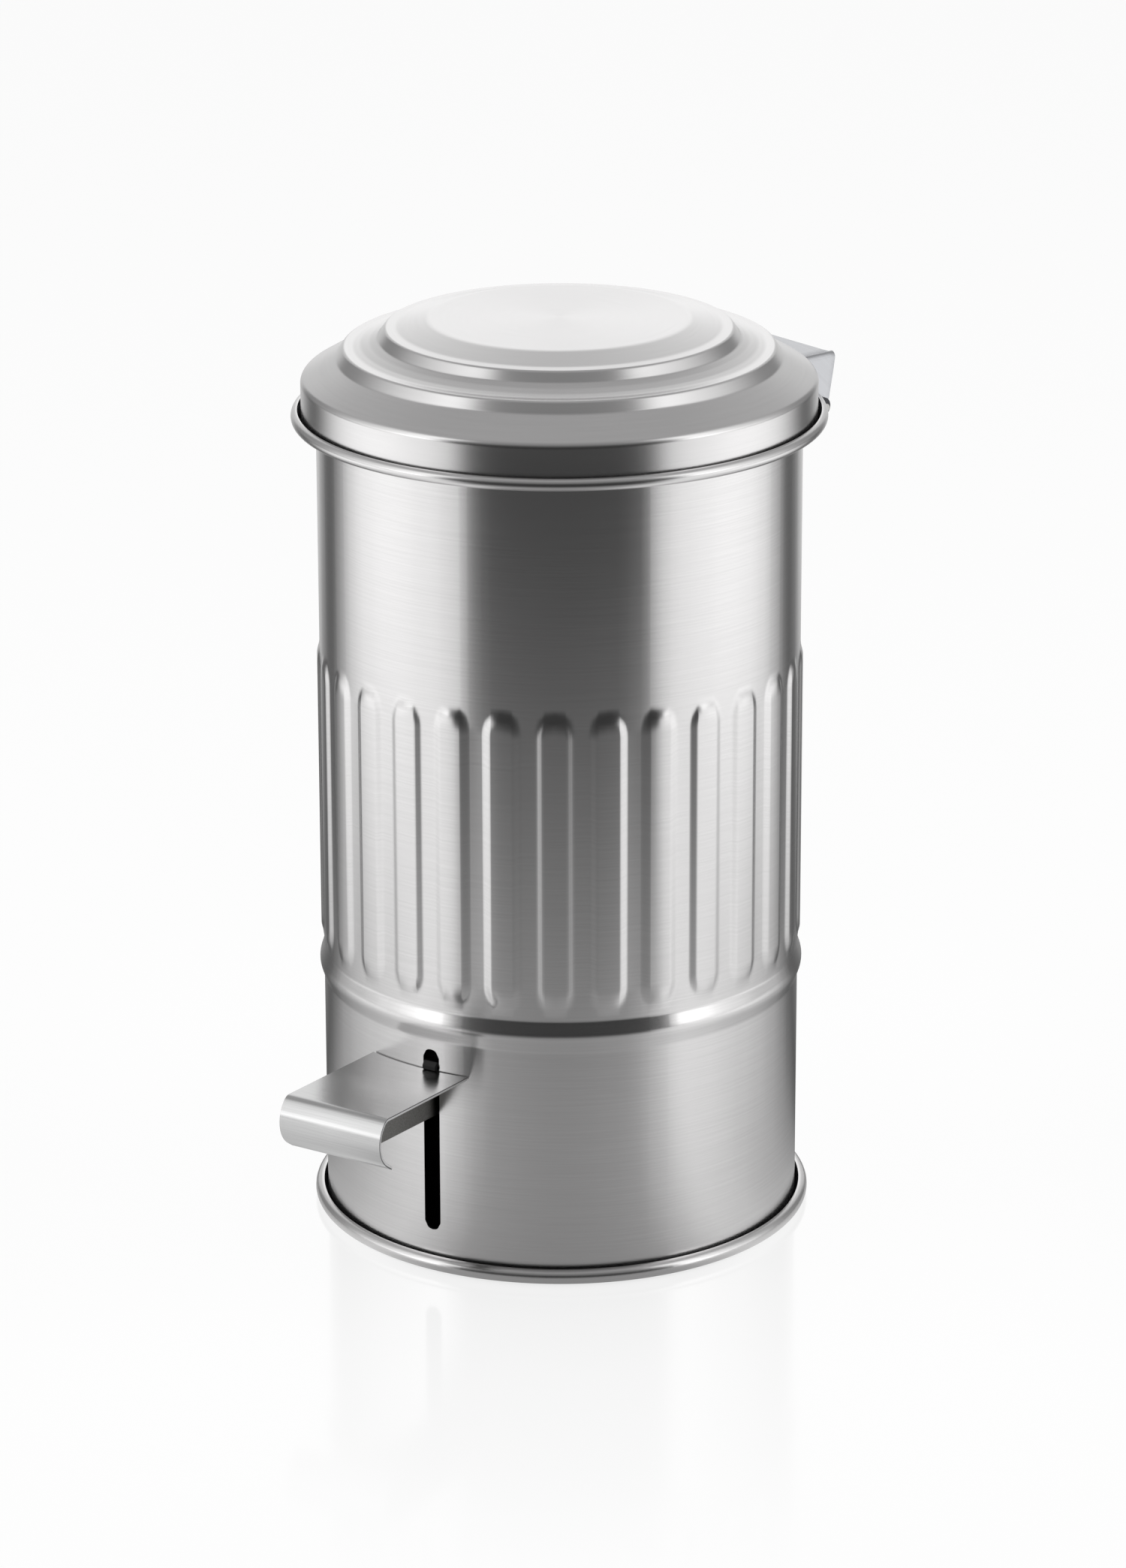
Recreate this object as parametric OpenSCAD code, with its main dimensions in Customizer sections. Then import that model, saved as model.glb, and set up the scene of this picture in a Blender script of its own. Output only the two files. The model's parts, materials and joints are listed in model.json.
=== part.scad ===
// Slim pedal bin of brushed steel: a ribbed can with a stepped lid, a foot pedal and an inner bucket.
// The origin is on the can's axis at the floor. The pedal points to -Y and +Z is up.

/* [Can] */
// Outer radius of the can wall
can_r = 84; // [80:0.5:92]
// Thickness of the can's sheet
sheet = 0.8; // [0.5:0.1:1]
// Height of the rim's top above the floor
rim_z = 300.3; // [296:0.1:304]
// Radius of the rolled wire edge at the foot
foot_curl_r = 2.6; // [2:0.1:3]
// Radius of the rolled edge at the rim
rim_curl_r = 1.5; // [1.2:0.1:1.8]
// Height of the middle of the roll bead
bead_z = 91.2; // [90:0.2:93]
// Height of the roll bead along the wall
bead_h = 10.8; // [10:0.2:13]
// How far the roll bead stands out
bead_out = 1.5; // [0.8:0.05:2]
// Radius of the roll bead's crest, between its straight flanks
bead_crest_r = 5; // [3:0.5:6]

/* [Ribs] */
// Number of places for pressed ribs round the wall, one of them left free at the back
rib_places = 29; // [23:2:31]
// Width of a pressed rib
rib_w = 10.4; // [8:0.2:12]
// How far a rib stands out
rib_out = 0.9; // [0.4:0.1:1.2]
// Height of the ribs' lower ends
rib_low_z = 101.4; // [100.6:0.2:105]
// Height of the ribs' upper ends
rib_top_z = 206.5; // [180:0.5:230]
// Width of the lapped seam at the back
seam_w = 6; // [4:0.5:8]
// How far the seam stands out
seam_out = 0.4; // [0.3:0.1:0.6]

/* [Slot] */
// Width of the pedal slot
slot_w = 6.5; // [6:0.1:8]
// Height of the slot's lower end
slot_low_z = 14.5; // [13.5:0.1:15]
// Height of the slot's upper end
slot_top_z = 82; // [81:0.2:84]

/* [Base] */
// Thickness of the black base disc at its edge
disc_h = 4; // [3.5:0.1:4.5]
// Thickness of the disc's floor
disc_floor = 2; // [1.5:0.1:2.4]
// Width of the disc's raised edge
disc_edge_w = 8; // [5:0.5:12]
// Thickness of the pressed steel floor
cup_sheet = 1.2; // [0.8:0.1:1.4]
// Height of the steel floor's upturned edge
cup_edge_h = 6.6; // [5:0.1:6.8]

/* [Bucket] */
// Space between the bucket and the outside of the can wall, for the push rod
bucket_gap = 12.2; // [11.8:0.1:15]
// How much narrower the bucket is at its bottom, on each side
bucket_taper = 3.2; // [2:0.2:8]
// Wall of the bucket
bucket_wall = 1.6; // [1.2:0.1:2]
// Height of the bucket's underside above the floor
bucket_low_z = 86; // [85:0.5:110]
// Thickness of the bucket's flange
flange_h = 1.6; // [1.2:0.1:1.9]
// How far the bucket's flange reaches past the can wall
flange_over = 2; // [1.5:0.1:2.5]

/* [Bail] */
// Radius of the bail's wire
bail_wire_r = 1.3; // [1:0.1:1.6]
// Gap between the bail and the outside of the bucket
bail_gap = 6.8; // [6.3:0.1:12]
// Depth of the bail's pivot under the rim
bail_drop = 13; // [9:0.5:20]
// Radius of the bail's grip
grip_r = 3.6; // [3:0.1:4]
// Angle that the grip spans on the arc
grip_angle = 42; // [30:1:60]

/* [Lid] */
// Thickness of the lid's sheet
lid_sheet = 0.8; // [0.5:0.1:1]
// How far the lid's skirt stands off the can wall
skirt_gap = 5.1; // [4.8:0.1:6.5]
// Height of the lid's shoulder over the can's rim
shoulder_h = 2.9; // [2.5:0.1:3.3]
// Radius of the shoulder's bend
skirt_bend_r = 2.4; // [1.5:0.1:3]
// Width of the outer terrace, from the skirt to the lower step
outer_terrace_w = 12.2; // [10:0.1:14]
// Rise of the outer terrace
outer_terrace_h = 6.8; // [6:0.1:8]
// Width of the lower step
lower_step_w = 2.7; // [2:0.1:4]
// Height of the lower step
lower_step_h = 3.8; // [3:0.1:5]
// Width of the middle terrace
middle_terrace_w = 11.8; // [9:0.1:14]
// Rise of the middle terrace
middle_terrace_h = 3; // [2:0.1:4]
// Width of the upper step
upper_step_w = 2.8; // [2:0.1:4]
// Height of the upper step
upper_step_h = 3.4; // [3:0.1:4.5]
// Width of the upper terrace, up to the flat top disc
upper_terrace_w = 14.7; // [11:0.1:18]
// Rise of the upper terrace
upper_terrace_h = 3.3; // [2:0.1:5]
// Height of the skirt, from the shoulder to the middle of the brim curl
skirt_h = 13.4; // [12.6:0.1:14]
// Radius of the brim curl
brim_curl_r = 2.15; // [1.7:0.05:2.3]

/* [Hinge] */
// Turn of the hinge from straight behind the pedal, seen from above
hinge_turn = 18; // [0:1:24]
// Distance of the hinge pin behind the lid's skirt
pin_set_l = 3.9; // [3.6:0.1:4.4]
// Depth of the hinge pin under the middle of the brim curl
pin_drop = 7.8; // [7.4:0.1:8.6]
// Radius of the hinge pin
pin_r = 1.5; // [1.3:0.1:1.6]
// How far the lid opens in degrees
lid_opening = 74; // [50:1:76]
// Width of the folded arm behind the lid
arm_w = 63; // [50:1:66]
// Reach of the arm behind the lid's skirt
arm_l = 10.4; // [9:0.1:11]
// Depth of the arm's top face under the lid's shoulder
arm_drop = 2.5; // [2.4:0.1:4.4]
// Sheet of the arm
arm_sheet = 1.2; // [1:0.1:1.4]
// Height of the arm's back flange
arm_back_h = 12; // [10:0.5:13]
// Height of the curved tab that holds the arm to the skirt
arm_tab_h = 7; // [6:0.2:7]
// Width of the curved tab
arm_tab_w = 30; // [24:1:36]
// Depth of the side flanges under the pin
arm_under_pin = 4; // [3.4:0.1:4.4]
// Width of the bracket plate on the wall
bracket_w = 40; // [36:1:44]
// Height of the bracket plate
bracket_h = 25; // [24:0.5:27]
// Sheet of the bracket
bracket_sheet = 1.2; // [1:0.1:1.5]
// Distance between the outer faces of the bracket's ears
ears_w = 31; // [29:0.5:32]
// Radius of an ear round the pin
ear_r = 4.5; // [3.6:0.1:4.8]

/* [Lid drive] */
// Radius of the push rod's wire
rod_r = 1.5; // [1.2:0.1:1.6]
// Distance of the rod's middle from the inside of the can wall
rod_gap = 3.2; // [3:0.1:3.8]
// Thickness of the crank plate
crank_t = 2; // [1.6:0.1:2.4]
// Play of the rod's hook in the crank's long hole
hook_gap = 0.7; // [0.6:0.05:0.8]
// Width of the crank's margin round its long hole
crank_edge_w = 1.6; // [1.4:0.1:1.8]
// Radius of the crank round the hinge pin
crank_eye_r = 4; // [3:0.1:4.4]
// Radius of the rod's foot
rod_foot_r = 2.8; // [2.4:0.1:2.9]
// Height of the rod's foot
rod_foot_h = 8; // [6:0.5:9]
// Depth of the upper rod guide under the hinge pin
guide_drop = 42; // [37:1:57]
// Height of the lower rod guide over the pedal's pivot
guide_rise = 32; // [31:0.5:38]

/* [Pedal] */
// How far the pedal goes down in degrees
pedal_press = 20; // [14:0.5:21]
// Height of the pedal's pivot
pivot_z = 22; // [21.5:0.1:23]
// Width of the tread
tread_w = 41; // [34:0.5:46]
// How far the tread's middle is set to the left of the slot, seen from the front
tread_set = 6; // [0:0.5:8]
// Sheet of the tread
tread_sheet = 1.1; // [0.9:0.1:1.3]
// Length of the tread, from the can wall to its front
tread_l = 53.7; // [45:0.1:56]
// Height of the tread's top at the wall
tread_z = 74.4; // [73.5:0.1:75]
// Rise of the tread towards its nose
tread_rise = 1.8; // [1:0.1:3]
// Radius of the bend at the nose's top
nose_bend_r = 4; // [2:0.1:6]
// Radius of the nose's bowed face
nose_r = 10.7; // [9:0.1:12]
// How far the bowed face turns in under the nose, in degrees
nose_turn = 55; // [30:1:65]
// Length of the straight lip under the nose
lip_l = 3.2; // [1:0.1:5]
// Thickness of the lever plate
lever_t = 2.2; // [1.6:0.1:2.6]
// Depth of the lever plate under the tread
lever_h = 17.2; // [14:0.2:18]
// Radius of the pedal pin
pedal_pin_r = 2.5; // [2:0.1:3]
// Radius of the lever's eye
eye_r = 7.5; // [6.5:0.1:8]
// Width between the pedal bracket's ears
pedal_gap_w = 12; // [10:0.5:14]
// Sheet of the pedal bracket
pedal_bracket_sheet = 2; // [1.5:0.1:2.4]
// Length of the pedal bracket's foot
pedal_bracket_l = 40; // [34:1:46]
// Width of the pedal tail
tail_w = 10; // [8:0.5:12]
// Thickness of the pedal tail
tail_t = 2.5; // [2:0.1:3]

/* [Hidden] */
$fn = 96;

// Clearances and overruns that all pieces share
seat_gap = 0.3;
weld_gap = 0.1;
pin_gap = 0.05;
overrun = 5;

// Can
can_in_r = can_r - sheet;
foot_z = 1.15 * foot_curl_r;
foot_curl_n = can_in_r + foot_curl_r;
rim_curl_n = can_in_r + rim_curl_r;
rim_curl_z = rim_z - rim_curl_r;
bead_centre_n = can_r + bead_out - bead_crest_r;
bead_foot_n = bead_crest_r - bead_out;
bead_foot_l = sqrt(pow(bead_foot_n, 2) + pow(bead_h / 2, 2));
bead_flank_turn = atan(bead_h / 2 / bead_foot_n) - acos(bead_crest_r / bead_foot_l);
rib_pitch = 360 / rib_places;
seam_place = (rib_places - 1) / 2;

// Base
disc_r = can_in_r - seat_gap;
cup_r = can_in_r - weld_gap;
cup_z = disc_h;
floor_z = cup_z + cup_sheet;

// Bucket and bail
bucket_r = can_r - bucket_gap;
bucket_low_r = bucket_r - bucket_taper;
flange_r = can_r + flange_over;
flange_z = rim_z + seat_gap;
flange_top_z = flange_z + flange_h;
bucket_neck_z = rim_z - 4 * rim_curl_r;
bail_z = rim_z - bail_drop;
bail_r = bucket_r - bail_gap;
bail_end_r = 1.7 * bail_wire_r;
bail_end_x = bucket_r + bail_end_r;
bumper_r = 3;
bumper_count = 6;
bumper_n = can_r - bumper_r;

// Lid: its radii and heights, stepped inwards and upwards from the skirt
skirt_r = can_r + skirt_gap;
skirt_z = rim_z + shoulder_h;
brim_z = skirt_z - skirt_h;
lower_foot_r = skirt_r - outer_terrace_w;
lower_foot_z = skirt_z + outer_terrace_h;
lower_shoulder_r = lower_foot_r - lower_step_w;
lower_shoulder_z = lower_foot_z + lower_step_h;
upper_foot_r = lower_shoulder_r - middle_terrace_w;
upper_foot_z = lower_shoulder_z + middle_terrace_h;
upper_shoulder_r = upper_foot_r - upper_step_w;
upper_shoulder_z = upper_foot_z + upper_step_h;
top_r = upper_shoulder_r - upper_terrace_w;
top_z = upper_shoulder_z + upper_terrace_h;
// Outer corners of the sheet, from the axis to the shoulder
lid_corners = [
    [0, top_z], [top_r, top_z], [upper_shoulder_r, upper_shoulder_z],
    [upper_foot_r, upper_foot_z], [lower_shoulder_r, lower_shoulder_z],
    [lower_foot_r, lower_foot_z]
];
// How much a corner moves inwards for each unit of sheet
lid_inner_share = 0.6;
skirt_in_r = skirt_r - lid_sheet;
brim_curl_n = skirt_in_r + brim_curl_r;
brim_out_r = brim_curl_n + brim_curl_r;
skirt_bend_n = skirt_r - skirt_bend_r;
skirt_bend_z = skirt_z - skirt_bend_r;
bend_start = 60;
lid_slope = (lower_foot_z - skirt_bend_z - skirt_bend_r * sin(bend_start))
    / (skirt_bend_n + skirt_bend_r * cos(bend_start) - lower_foot_r);

// Rivets
rivet_r = 1.5;
rivet_head_r = 1.7 * rivet_r;
rivet_head_h = 0.7 * rivet_r;

// Hinge, in a frame whose +Y is the hinge's own direction
pin_n = skirt_r + pin_set_l;
pin_z = brim_z - pin_drop;
arm_n = skirt_r + arm_l;
arm_z = skirt_z - arm_drop;
flange_low_z = pin_z - arm_under_pin;
tab_r = skirt_r + weld_gap;
tab_low_z = arm_z - arm_sheet - arm_tab_h;
tab_rivet_z = tab_low_z + arm_tab_h / 2;
tab_rivet_turn = asin(arm_tab_w / 3 / skirt_r);
brim_room_r = brim_out_r + seat_gap;
brim_room_low_z = brim_z - brim_curl_r - seat_gap;
brim_room_top_z = brim_z + brim_curl_r + seat_gap;
plate_r = can_r + weld_gap;
plate_top_z = pin_z + 2.2 * ear_r;
plate_low_z = plate_top_z - bracket_h;
plate_rivet_z = [plate_low_z + 1.5 * rivet_head_r, plate_top_z - 1.5 * rivet_head_r];
plate_rivet_turn = asin((ears_w / 2 - bracket_sheet - 2.2 * rivet_head_r) / can_r);
pin_head_r = 2 * pin_r;
pin_head_h = 1.2 * pin_r;
pin_low_x = -arm_w / 2 - seat_gap;
pin_clip_x = arm_w / 2 + seat_gap;
pin_clip_r = 2.2 * pin_r;
pin_clip_h = 0.7 * pin_r;
pin_end_x = pin_clip_x + 2 * pin_r;

// Drive: the rod's travel fits the lid's swing, and the pedal's rear arm fits the rod's travel
half_swing = lid_opening / 2;
travel_share = 0.97;
rod_n = can_in_r - rod_gap;
rod_arm = pin_n - rod_n;
rod_travel = 2 * travel_share * rod_arm * tan(half_swing);
rod_x = crank_t / 2 + seat_gap + weld_gap + rod_r;
hook_z = pin_z - rod_travel / 2;
rod_clip_r = 1.7 * rod_r;
rod_clip_h = 0.6 * rod_r;
rod_clip_x = -crank_t / 2 - seat_gap - weld_gap;
hook_end_x = rod_clip_x - 2 * rod_clip_h;
slot_half = rod_r + hook_gap;
long_hole_out = rod_arm / cos(half_swing);
crank_half = slot_half + crank_edge_w;
wall_slot_half = (pin_n - can_in_r) * tan(half_swing) + crank_half / cos(half_swing) + 2 * seat_gap;
wall_slot_w = crank_t + 8 * seat_gap;
rod_wide = rod_x * cos(hinge_turn) + rod_n * sin(hinge_turn);
rod_back = rod_n * cos(hinge_turn) - rod_x * sin(hinge_turn);

// Rod guides
guide_wall = 1.3;
guide_h = 8;
guide_plate_w = 24;
guide_plate_h = 12;
guide_sheet = 1.1;
guide_plate_r = can_in_r - weld_gap;
guide_rivet_turn = asin(guide_plate_w / 3 / can_r);
guide_top_z = pin_z - guide_drop;
guide_low_z = pivot_z + guide_rise;
guide_heights = [guide_low_z, guide_top_z];

// Pedal
nose_out = can_r + tread_l;
half_press = pedal_press / 2;
tail_reach = rod_travel / (2 * tan(half_press));
tail_plane = tail_reach / cos(half_press);
pivot_y = rod_back - tail_reach;
tread_back_n = can_r + 2 * seat_gap;
nose_n = nose_out - nose_r;
tread_edge_n = nose_n + (nose_r - nose_bend_r) * cos(45);
tread_edge_z = tread_z + tread_rise;
tread_slope = tread_rise / (tread_edge_n - can_r);
nose_bend_z = tread_edge_z - nose_bend_r;
nose_z = nose_bend_z - (nose_r - nose_bend_r) * sin(45);
bush_wall = 1.6;
bush_r = pedal_pin_r + bush_wall;
bush_flange_r = 1.35 * bush_r;
ear_x = pedal_gap_w / 2 + pedal_bracket_sheet;
pedal_head_r = 1.6 * pedal_pin_r;
pedal_head_h = 0.8 * pedal_pin_r;
pedal_clip_h = 0.4 * pedal_pin_r;
foot_rivet_x = ear_x + 1.6 * rivet_head_r;
foot_rivet_y = pedal_bracket_l / 2 - 1.6 * rivet_head_r;
foot_half_w = foot_rivet_x + 1.6 * rivet_head_r;

// Tail and lever
tail_top = tail_t / 2;
tail_start = eye_r + tail_t;
tail_turn = atan(rod_wide / (tail_plane - tail_start));
tail_l = sqrt(pow(rod_wide, 2) + pow(tail_plane - tail_start, 2));
tail_room_r = can_in_r - (tail_plane - tail_reach) - 2 * seat_gap;
heel_l = tail_start + 1.5 * tail_w;
heel_h = 0.7 * eye_r;
tail_foot_z = pivot_z - tail_reach * tan(half_press) + tail_top / cos(half_press);
rod_foot_mid_z = tail_foot_z + (rod_foot_r + seat_gap) / cos(half_press);
rod_low_z = rod_foot_mid_z + rod_foot_r / 2;
lever_in_n = can_r - 1.6 * eye_r;

// Buffer
buffer_half = slot_w / 2 - seat_gap;
buffer_h = 3.4;
buffer_front_n = can_r + 0.4 * buffer_h;
buffer_back_n = can_r - 1.8 * buffer_h;

function list_back(list) = [for (i = [len(list) - 1 : -1 : 0]) list[i]];

// Height of the tread's top at a distance from the can's axis
function tread_top(n) = tread_z + tread_slope * (n - can_r);

// The nose: half a square bend over the front, a bowed face that goes on from it, and a straight lip
function nose_points(set_in) = concat(
    [for (a = [90 : -9 : 54])
        [tread_edge_n + (nose_bend_r - set_in) * cos(a),
         nose_bend_z + (nose_bend_r - set_in) * sin(a)]],
    [for (s = [0 : 0.125 : 1])
        let (a = 45 - s * (45 + nose_turn))
            [nose_n + (nose_r - set_in) * cos(a), nose_z + (nose_r - set_in) * sin(a)]],
    [[nose_n + (nose_r - set_in) * cos(nose_turn) - lip_l * sin(nose_turn),
      nose_z - (nose_r - set_in) * sin(nose_turn) - lip_l * cos(nose_turn)]]
);

// Height of the lid's underside over its outer slope
function lid_under(n) = lower_foot_z - lid_sheet
    - lid_slope * (n + lid_inner_share * lid_sheet - lower_foot_r);

// Turns its children into the hinge's frame
module at_hinge() {
    rotate([0, 0, -hinge_turn]) children();
}

// Moves its children to the hinge pin
module at_pin() {
    at_hinge() translate([0, pin_n, pin_z]) children();
}

// Moves its children to the pedal's pivot
module at_pivot() {
    translate([0, pivot_y, pivot_z]) children();
}

// A pipe between two radii, from one height to another
module pipe(r_in, r_out, z_low, z_high) {
    translate([0, 0, z_low])
        difference() {
            cylinder(r = r_out, h = z_high - z_low);
            translate([0, 0, -overrun]) cylinder(r = r_in, h = z_high - z_low + 2 * overrun);
        }
}

// A cylinder along X
module bar(r, x_low, x_high) {
    translate([x_low, 0, 0]) rotate([0, 90, 0]) cylinder(r = r, h = x_high - x_low);
}

// An upright slab with round ends, its depth along Y
module pill(w, length, depth) {
    translate([-w / 2, 0, w / 2]) cube([w, depth, length - w]);
    for (z = [w / 2, length - w / 2])
        translate([0, 0, z]) rotate([-90, 0, 0]) cylinder(r = w / 2, h = depth);
}

// A rivet along +Y: its head's underside is at y = 0 and its tail lies past the grip
module rivet(grip) {
    rotate([-90, 0, 0]) {
        translate([0, 0, -grip]) cylinder(r = rivet_r - pin_gap, h = grip);
        intersection() {
            cylinder(r = rivet_head_r, h = rivet_head_h);
            translate([0, 0, -rivet_head_h]) sphere(r = 1.25 * rivet_head_r);
        }
        translate([0, 0, -grip - rivet_head_h / 2]) cylinder(r = 0.85 * rivet_head_r, h = rivet_head_h / 2);
    }
}

// The hole for such a rivet, to both sides of y = 0
module rivet_hole() {
    rotate([-90, 0, 0]) cylinder(r = rivet_r, h = 2 * overrun, center = true);
}

// Puts its children on a round wall at a turn from the hinge's direction
module on_wall(n, turn, z) {
    rotate([0, 0, turn]) translate([0, n, z]) children();
}

// Extrudes a side outline, drawn in distance from the axis and height, along X
module side_plate(x_high, w) {
    translate([x_high, 0, 0]) rotate([90, 0, -90]) linear_extrude(w) children();
}

// Ring of rolled tube beside a wall, a quarter of it left open: above its middle or below
module rolled_edge(n, z, r, t, open_above) {
    translate([n, z])
        difference() {
            circle(r = r);
            circle(r = r - t);
            translate([-r - t, open_above ? 0 : -r - t]) square([r + t, r + t]);
        }
}

// The can's side, set in by an amount
module can_outline(set_in) {
    translate([0, foot_z - weld_gap]) square([can_r - set_in, rim_curl_z - foot_z + 2 * weld_gap]);
    // The bead's crest, and its flanks that touch it
    translate([bead_centre_n, bead_z]) {
        crest_r = bead_crest_r - set_in;
        circle(r = crest_r);
        polygon([
            [bead_foot_n - set_in - overrun, -bead_h / 2],
            [bead_foot_n - set_in, -bead_h / 2],
            [crest_r * cos(bead_flank_turn), -crest_r * sin(bead_flank_turn)],
            [crest_r * cos(bead_flank_turn), crest_r * sin(bead_flank_turn)],
            [bead_foot_n - set_in, bead_h / 2],
            [bead_foot_n - set_in - overrun, bead_h / 2]
        ]);
    }
}

module body_shell() {
    color([0.72, 0.72, 0.72])
    difference() {
        union() {
            rotate_extrude($fn = 180) {
                difference() {
                    can_outline(0);
                    can_outline(sheet);
                }
                rolled_edge(foot_curl_n, foot_z, foot_curl_r, sheet, true);
                rolled_edge(rim_curl_n, rim_curl_z, rim_curl_r, sheet, false);
            }
            // Pressed ribs, with none at the seam
            intersection() {
                for (i = [0 : rib_places - 1])
                    if (i != seam_place)
                        rotate([0, 0, (i + 0.5) * rib_pitch])
                            translate([0, -can_r - overrun, rib_low_z])
                                pill(rib_w, rib_top_z - rib_low_z, 2 * overrun);
                pipe(can_r - sheet / 2, can_r + rib_out, rib_low_z - overrun, rib_top_z + overrun);
            }
            // Lapped seam
            intersection() {
                translate([-seam_w / 2, 0, 0]) cube([seam_w, 2 * can_r, rim_z]);
                pipe(can_r - sheet / 2, can_r + seam_out, 3 * foot_z, rim_z - 3 * rim_curl_r);
            }
        }
        // Slot for the lever
        translate([0, -can_r - overrun, slot_low_z])
            pill(slot_w, slot_top_z - slot_low_z, 2 * overrun);
        at_hinge() {
            // Slot for the crank
            translate([0, can_in_r - overrun, pin_z - wall_slot_half])
                pill(wall_slot_w, 2 * wall_slot_half, 3 * overrun);
            for (side = [-1, 1]) {
                for (z = plate_rivet_z)
                    on_wall(can_r, side * plate_rivet_turn, z) rivet_hole();
                for (z = guide_heights)
                    on_wall(can_r, side * guide_rivet_turn, z) rivet_hole();
            }
        }
    }
}

// The steel floor, with four holes for the pedal bracket's rivets
module base_cup() {
    color([0.6, 0.6, 0.62])
    difference() {
        translate([0, 0, cup_z]) cylinder(r = cup_r, h = cup_edge_h);
        translate([0, 0, floor_z]) cylinder(r = cup_r - cup_sheet, h = cup_edge_h);
        for (x = [-foot_rivet_x, foot_rivet_x], y = [-foot_rivet_y, foot_rivet_y])
            translate([x, pivot_y + y, 0]) cylinder(r = rivet_r, h = 2 * floor_z);
    }
}

module base_disc() {
    color([0.08, 0.08, 0.08])
    difference() {
        cylinder(r = disc_r, h = disc_h);
        translate([0, 0, disc_floor]) cylinder(r = disc_r - disc_edge_w, h = disc_h);
    }
}

module bucket_outline(set_in) {
    polygon([
        [0, bucket_low_z + set_in],
        [bucket_low_r - set_in, bucket_low_z + set_in],
        [bucket_r - set_in, bucket_neck_z],
        [bucket_r - set_in, flange_top_z + set_in],
        [0, flange_top_z + set_in]
    ]);
}

module inner_bucket() {
    color([0.13, 0.13, 0.14])
    difference() {
        rotate_extrude($fn = 180)
            difference() {
                union() {
                    bucket_outline(0);
                    translate([0, flange_z]) square([flange_r, flange_h]);
                }
                bucket_outline(bucket_wall);
            }
        translate([0, 0, bail_z]) bar(bail_wire_r + 2 * pin_gap, -flange_r, flange_r);
    }
}

// Rubber pads on the bucket's flange that stop just under the lid
module rim_bumpers() {
    color([0.2, 0.2, 0.2])
    for (i = [0 : bumper_count - 1])
        rotate([0, 0, (i + 0.5) * 360 / bumper_count])
            translate([0, bumper_n, flange_top_z])
                cylinder(r = bumper_r, h = lid_under(bumper_n + bumper_r) - seat_gap - flange_top_z);
}

// The wall bracket: a curved plate and two ears for the pin
module hinge_bracket() {
    color([0.7, 0.7, 0.7])
    at_hinge()
    difference() {
        union() {
            intersection() {
                pipe(plate_r, plate_r + bracket_sheet, plate_low_z, plate_top_z);
                translate([-bracket_w / 2, 0, 0]) cube([bracket_w, 2 * can_r, 2 * pin_z]);
            }
            difference() {
                for (x = [-ears_w / 2, ears_w / 2 - bracket_sheet])
                    translate([x, 0, pin_z]) {
                        translate([0, 0, -ear_r]) cube([bracket_sheet, pin_n, 2 * ear_r]);
                        translate([0, pin_n, 0]) bar(ear_r, 0, bracket_sheet);
                    }
                cylinder(r = plate_r, h = 2 * pin_z);
            }
        }
        translate([0, pin_n, pin_z]) bar(pin_r + pin_gap, -arm_w, arm_w);
        translate([0, can_in_r - overrun, pin_z - wall_slot_half])
            pill(wall_slot_w, 2 * wall_slot_half, 3 * overrun);
        for (side = [-1, 1], z = plate_rivet_z)
            on_wall(can_r, side * plate_rivet_turn, z) rivet_hole();
    }
}

module hinge_bracket_rivets() {
    color([0.66, 0.66, 0.66])
    at_hinge()
        for (side = [-1, 1], z = plate_rivet_z)
            on_wall(plate_r + bracket_sheet + weld_gap, side * plate_rivet_turn, z)
                rivet(3 * weld_gap + bracket_sheet + sheet);
}

module hinge_pin() {
    color([0.6, 0.6, 0.6])
    at_pin() {
        bar(pin_r, pin_low_x, pin_end_x);
        bar(pin_head_r, pin_low_x - pin_head_h, pin_low_x);
    }
}

module hinge_pin_clip() {
    color([0.5, 0.5, 0.5])
    at_pin()
        difference() {
            bar(pin_clip_r, pin_clip_x, pin_clip_x + pin_clip_h);
            bar(pin_r + pin_gap, 0, arm_w);
        }
}

// A loop on a curved plate that keeps the rod by the wall
module rod_guide(z) {
    color([0.58, 0.58, 0.6])
    at_hinge()
    translate([0, 0, z])
    difference() {
        union() {
            intersection() {
                pipe(guide_plate_r - guide_sheet, guide_plate_r, -guide_plate_h / 2, guide_plate_h / 2);
                translate([-guide_plate_w / 2, 0, -guide_plate_h])
                    cube([guide_plate_w, 2 * can_r, 2 * guide_plate_h]);
            }
            translate([rod_x, rod_n, -guide_h / 2]) cylinder(r = rod_r + guide_wall, h = guide_h);
        }
        translate([rod_x, rod_n, -guide_h]) cylinder(r = rod_r + pin_gap, h = 2 * guide_h);
        for (side = [-1, 1])
            on_wall(can_r, side * guide_rivet_turn, 0) rivet_hole();
    }
}

module rod_guide_upper() {
    rod_guide(guide_top_z);
}

module rod_guide_lower() {
    rod_guide(guide_low_z);
}

module rod_guide_rivets() {
    color([0.66, 0.66, 0.66])
    at_hinge()
        for (side = [-1, 1], z = guide_heights)
            on_wall(can_r + weld_gap, side * guide_rivet_turn, z)
                rivet(3 * weld_gap + guide_sheet + sheet);
}

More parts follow.
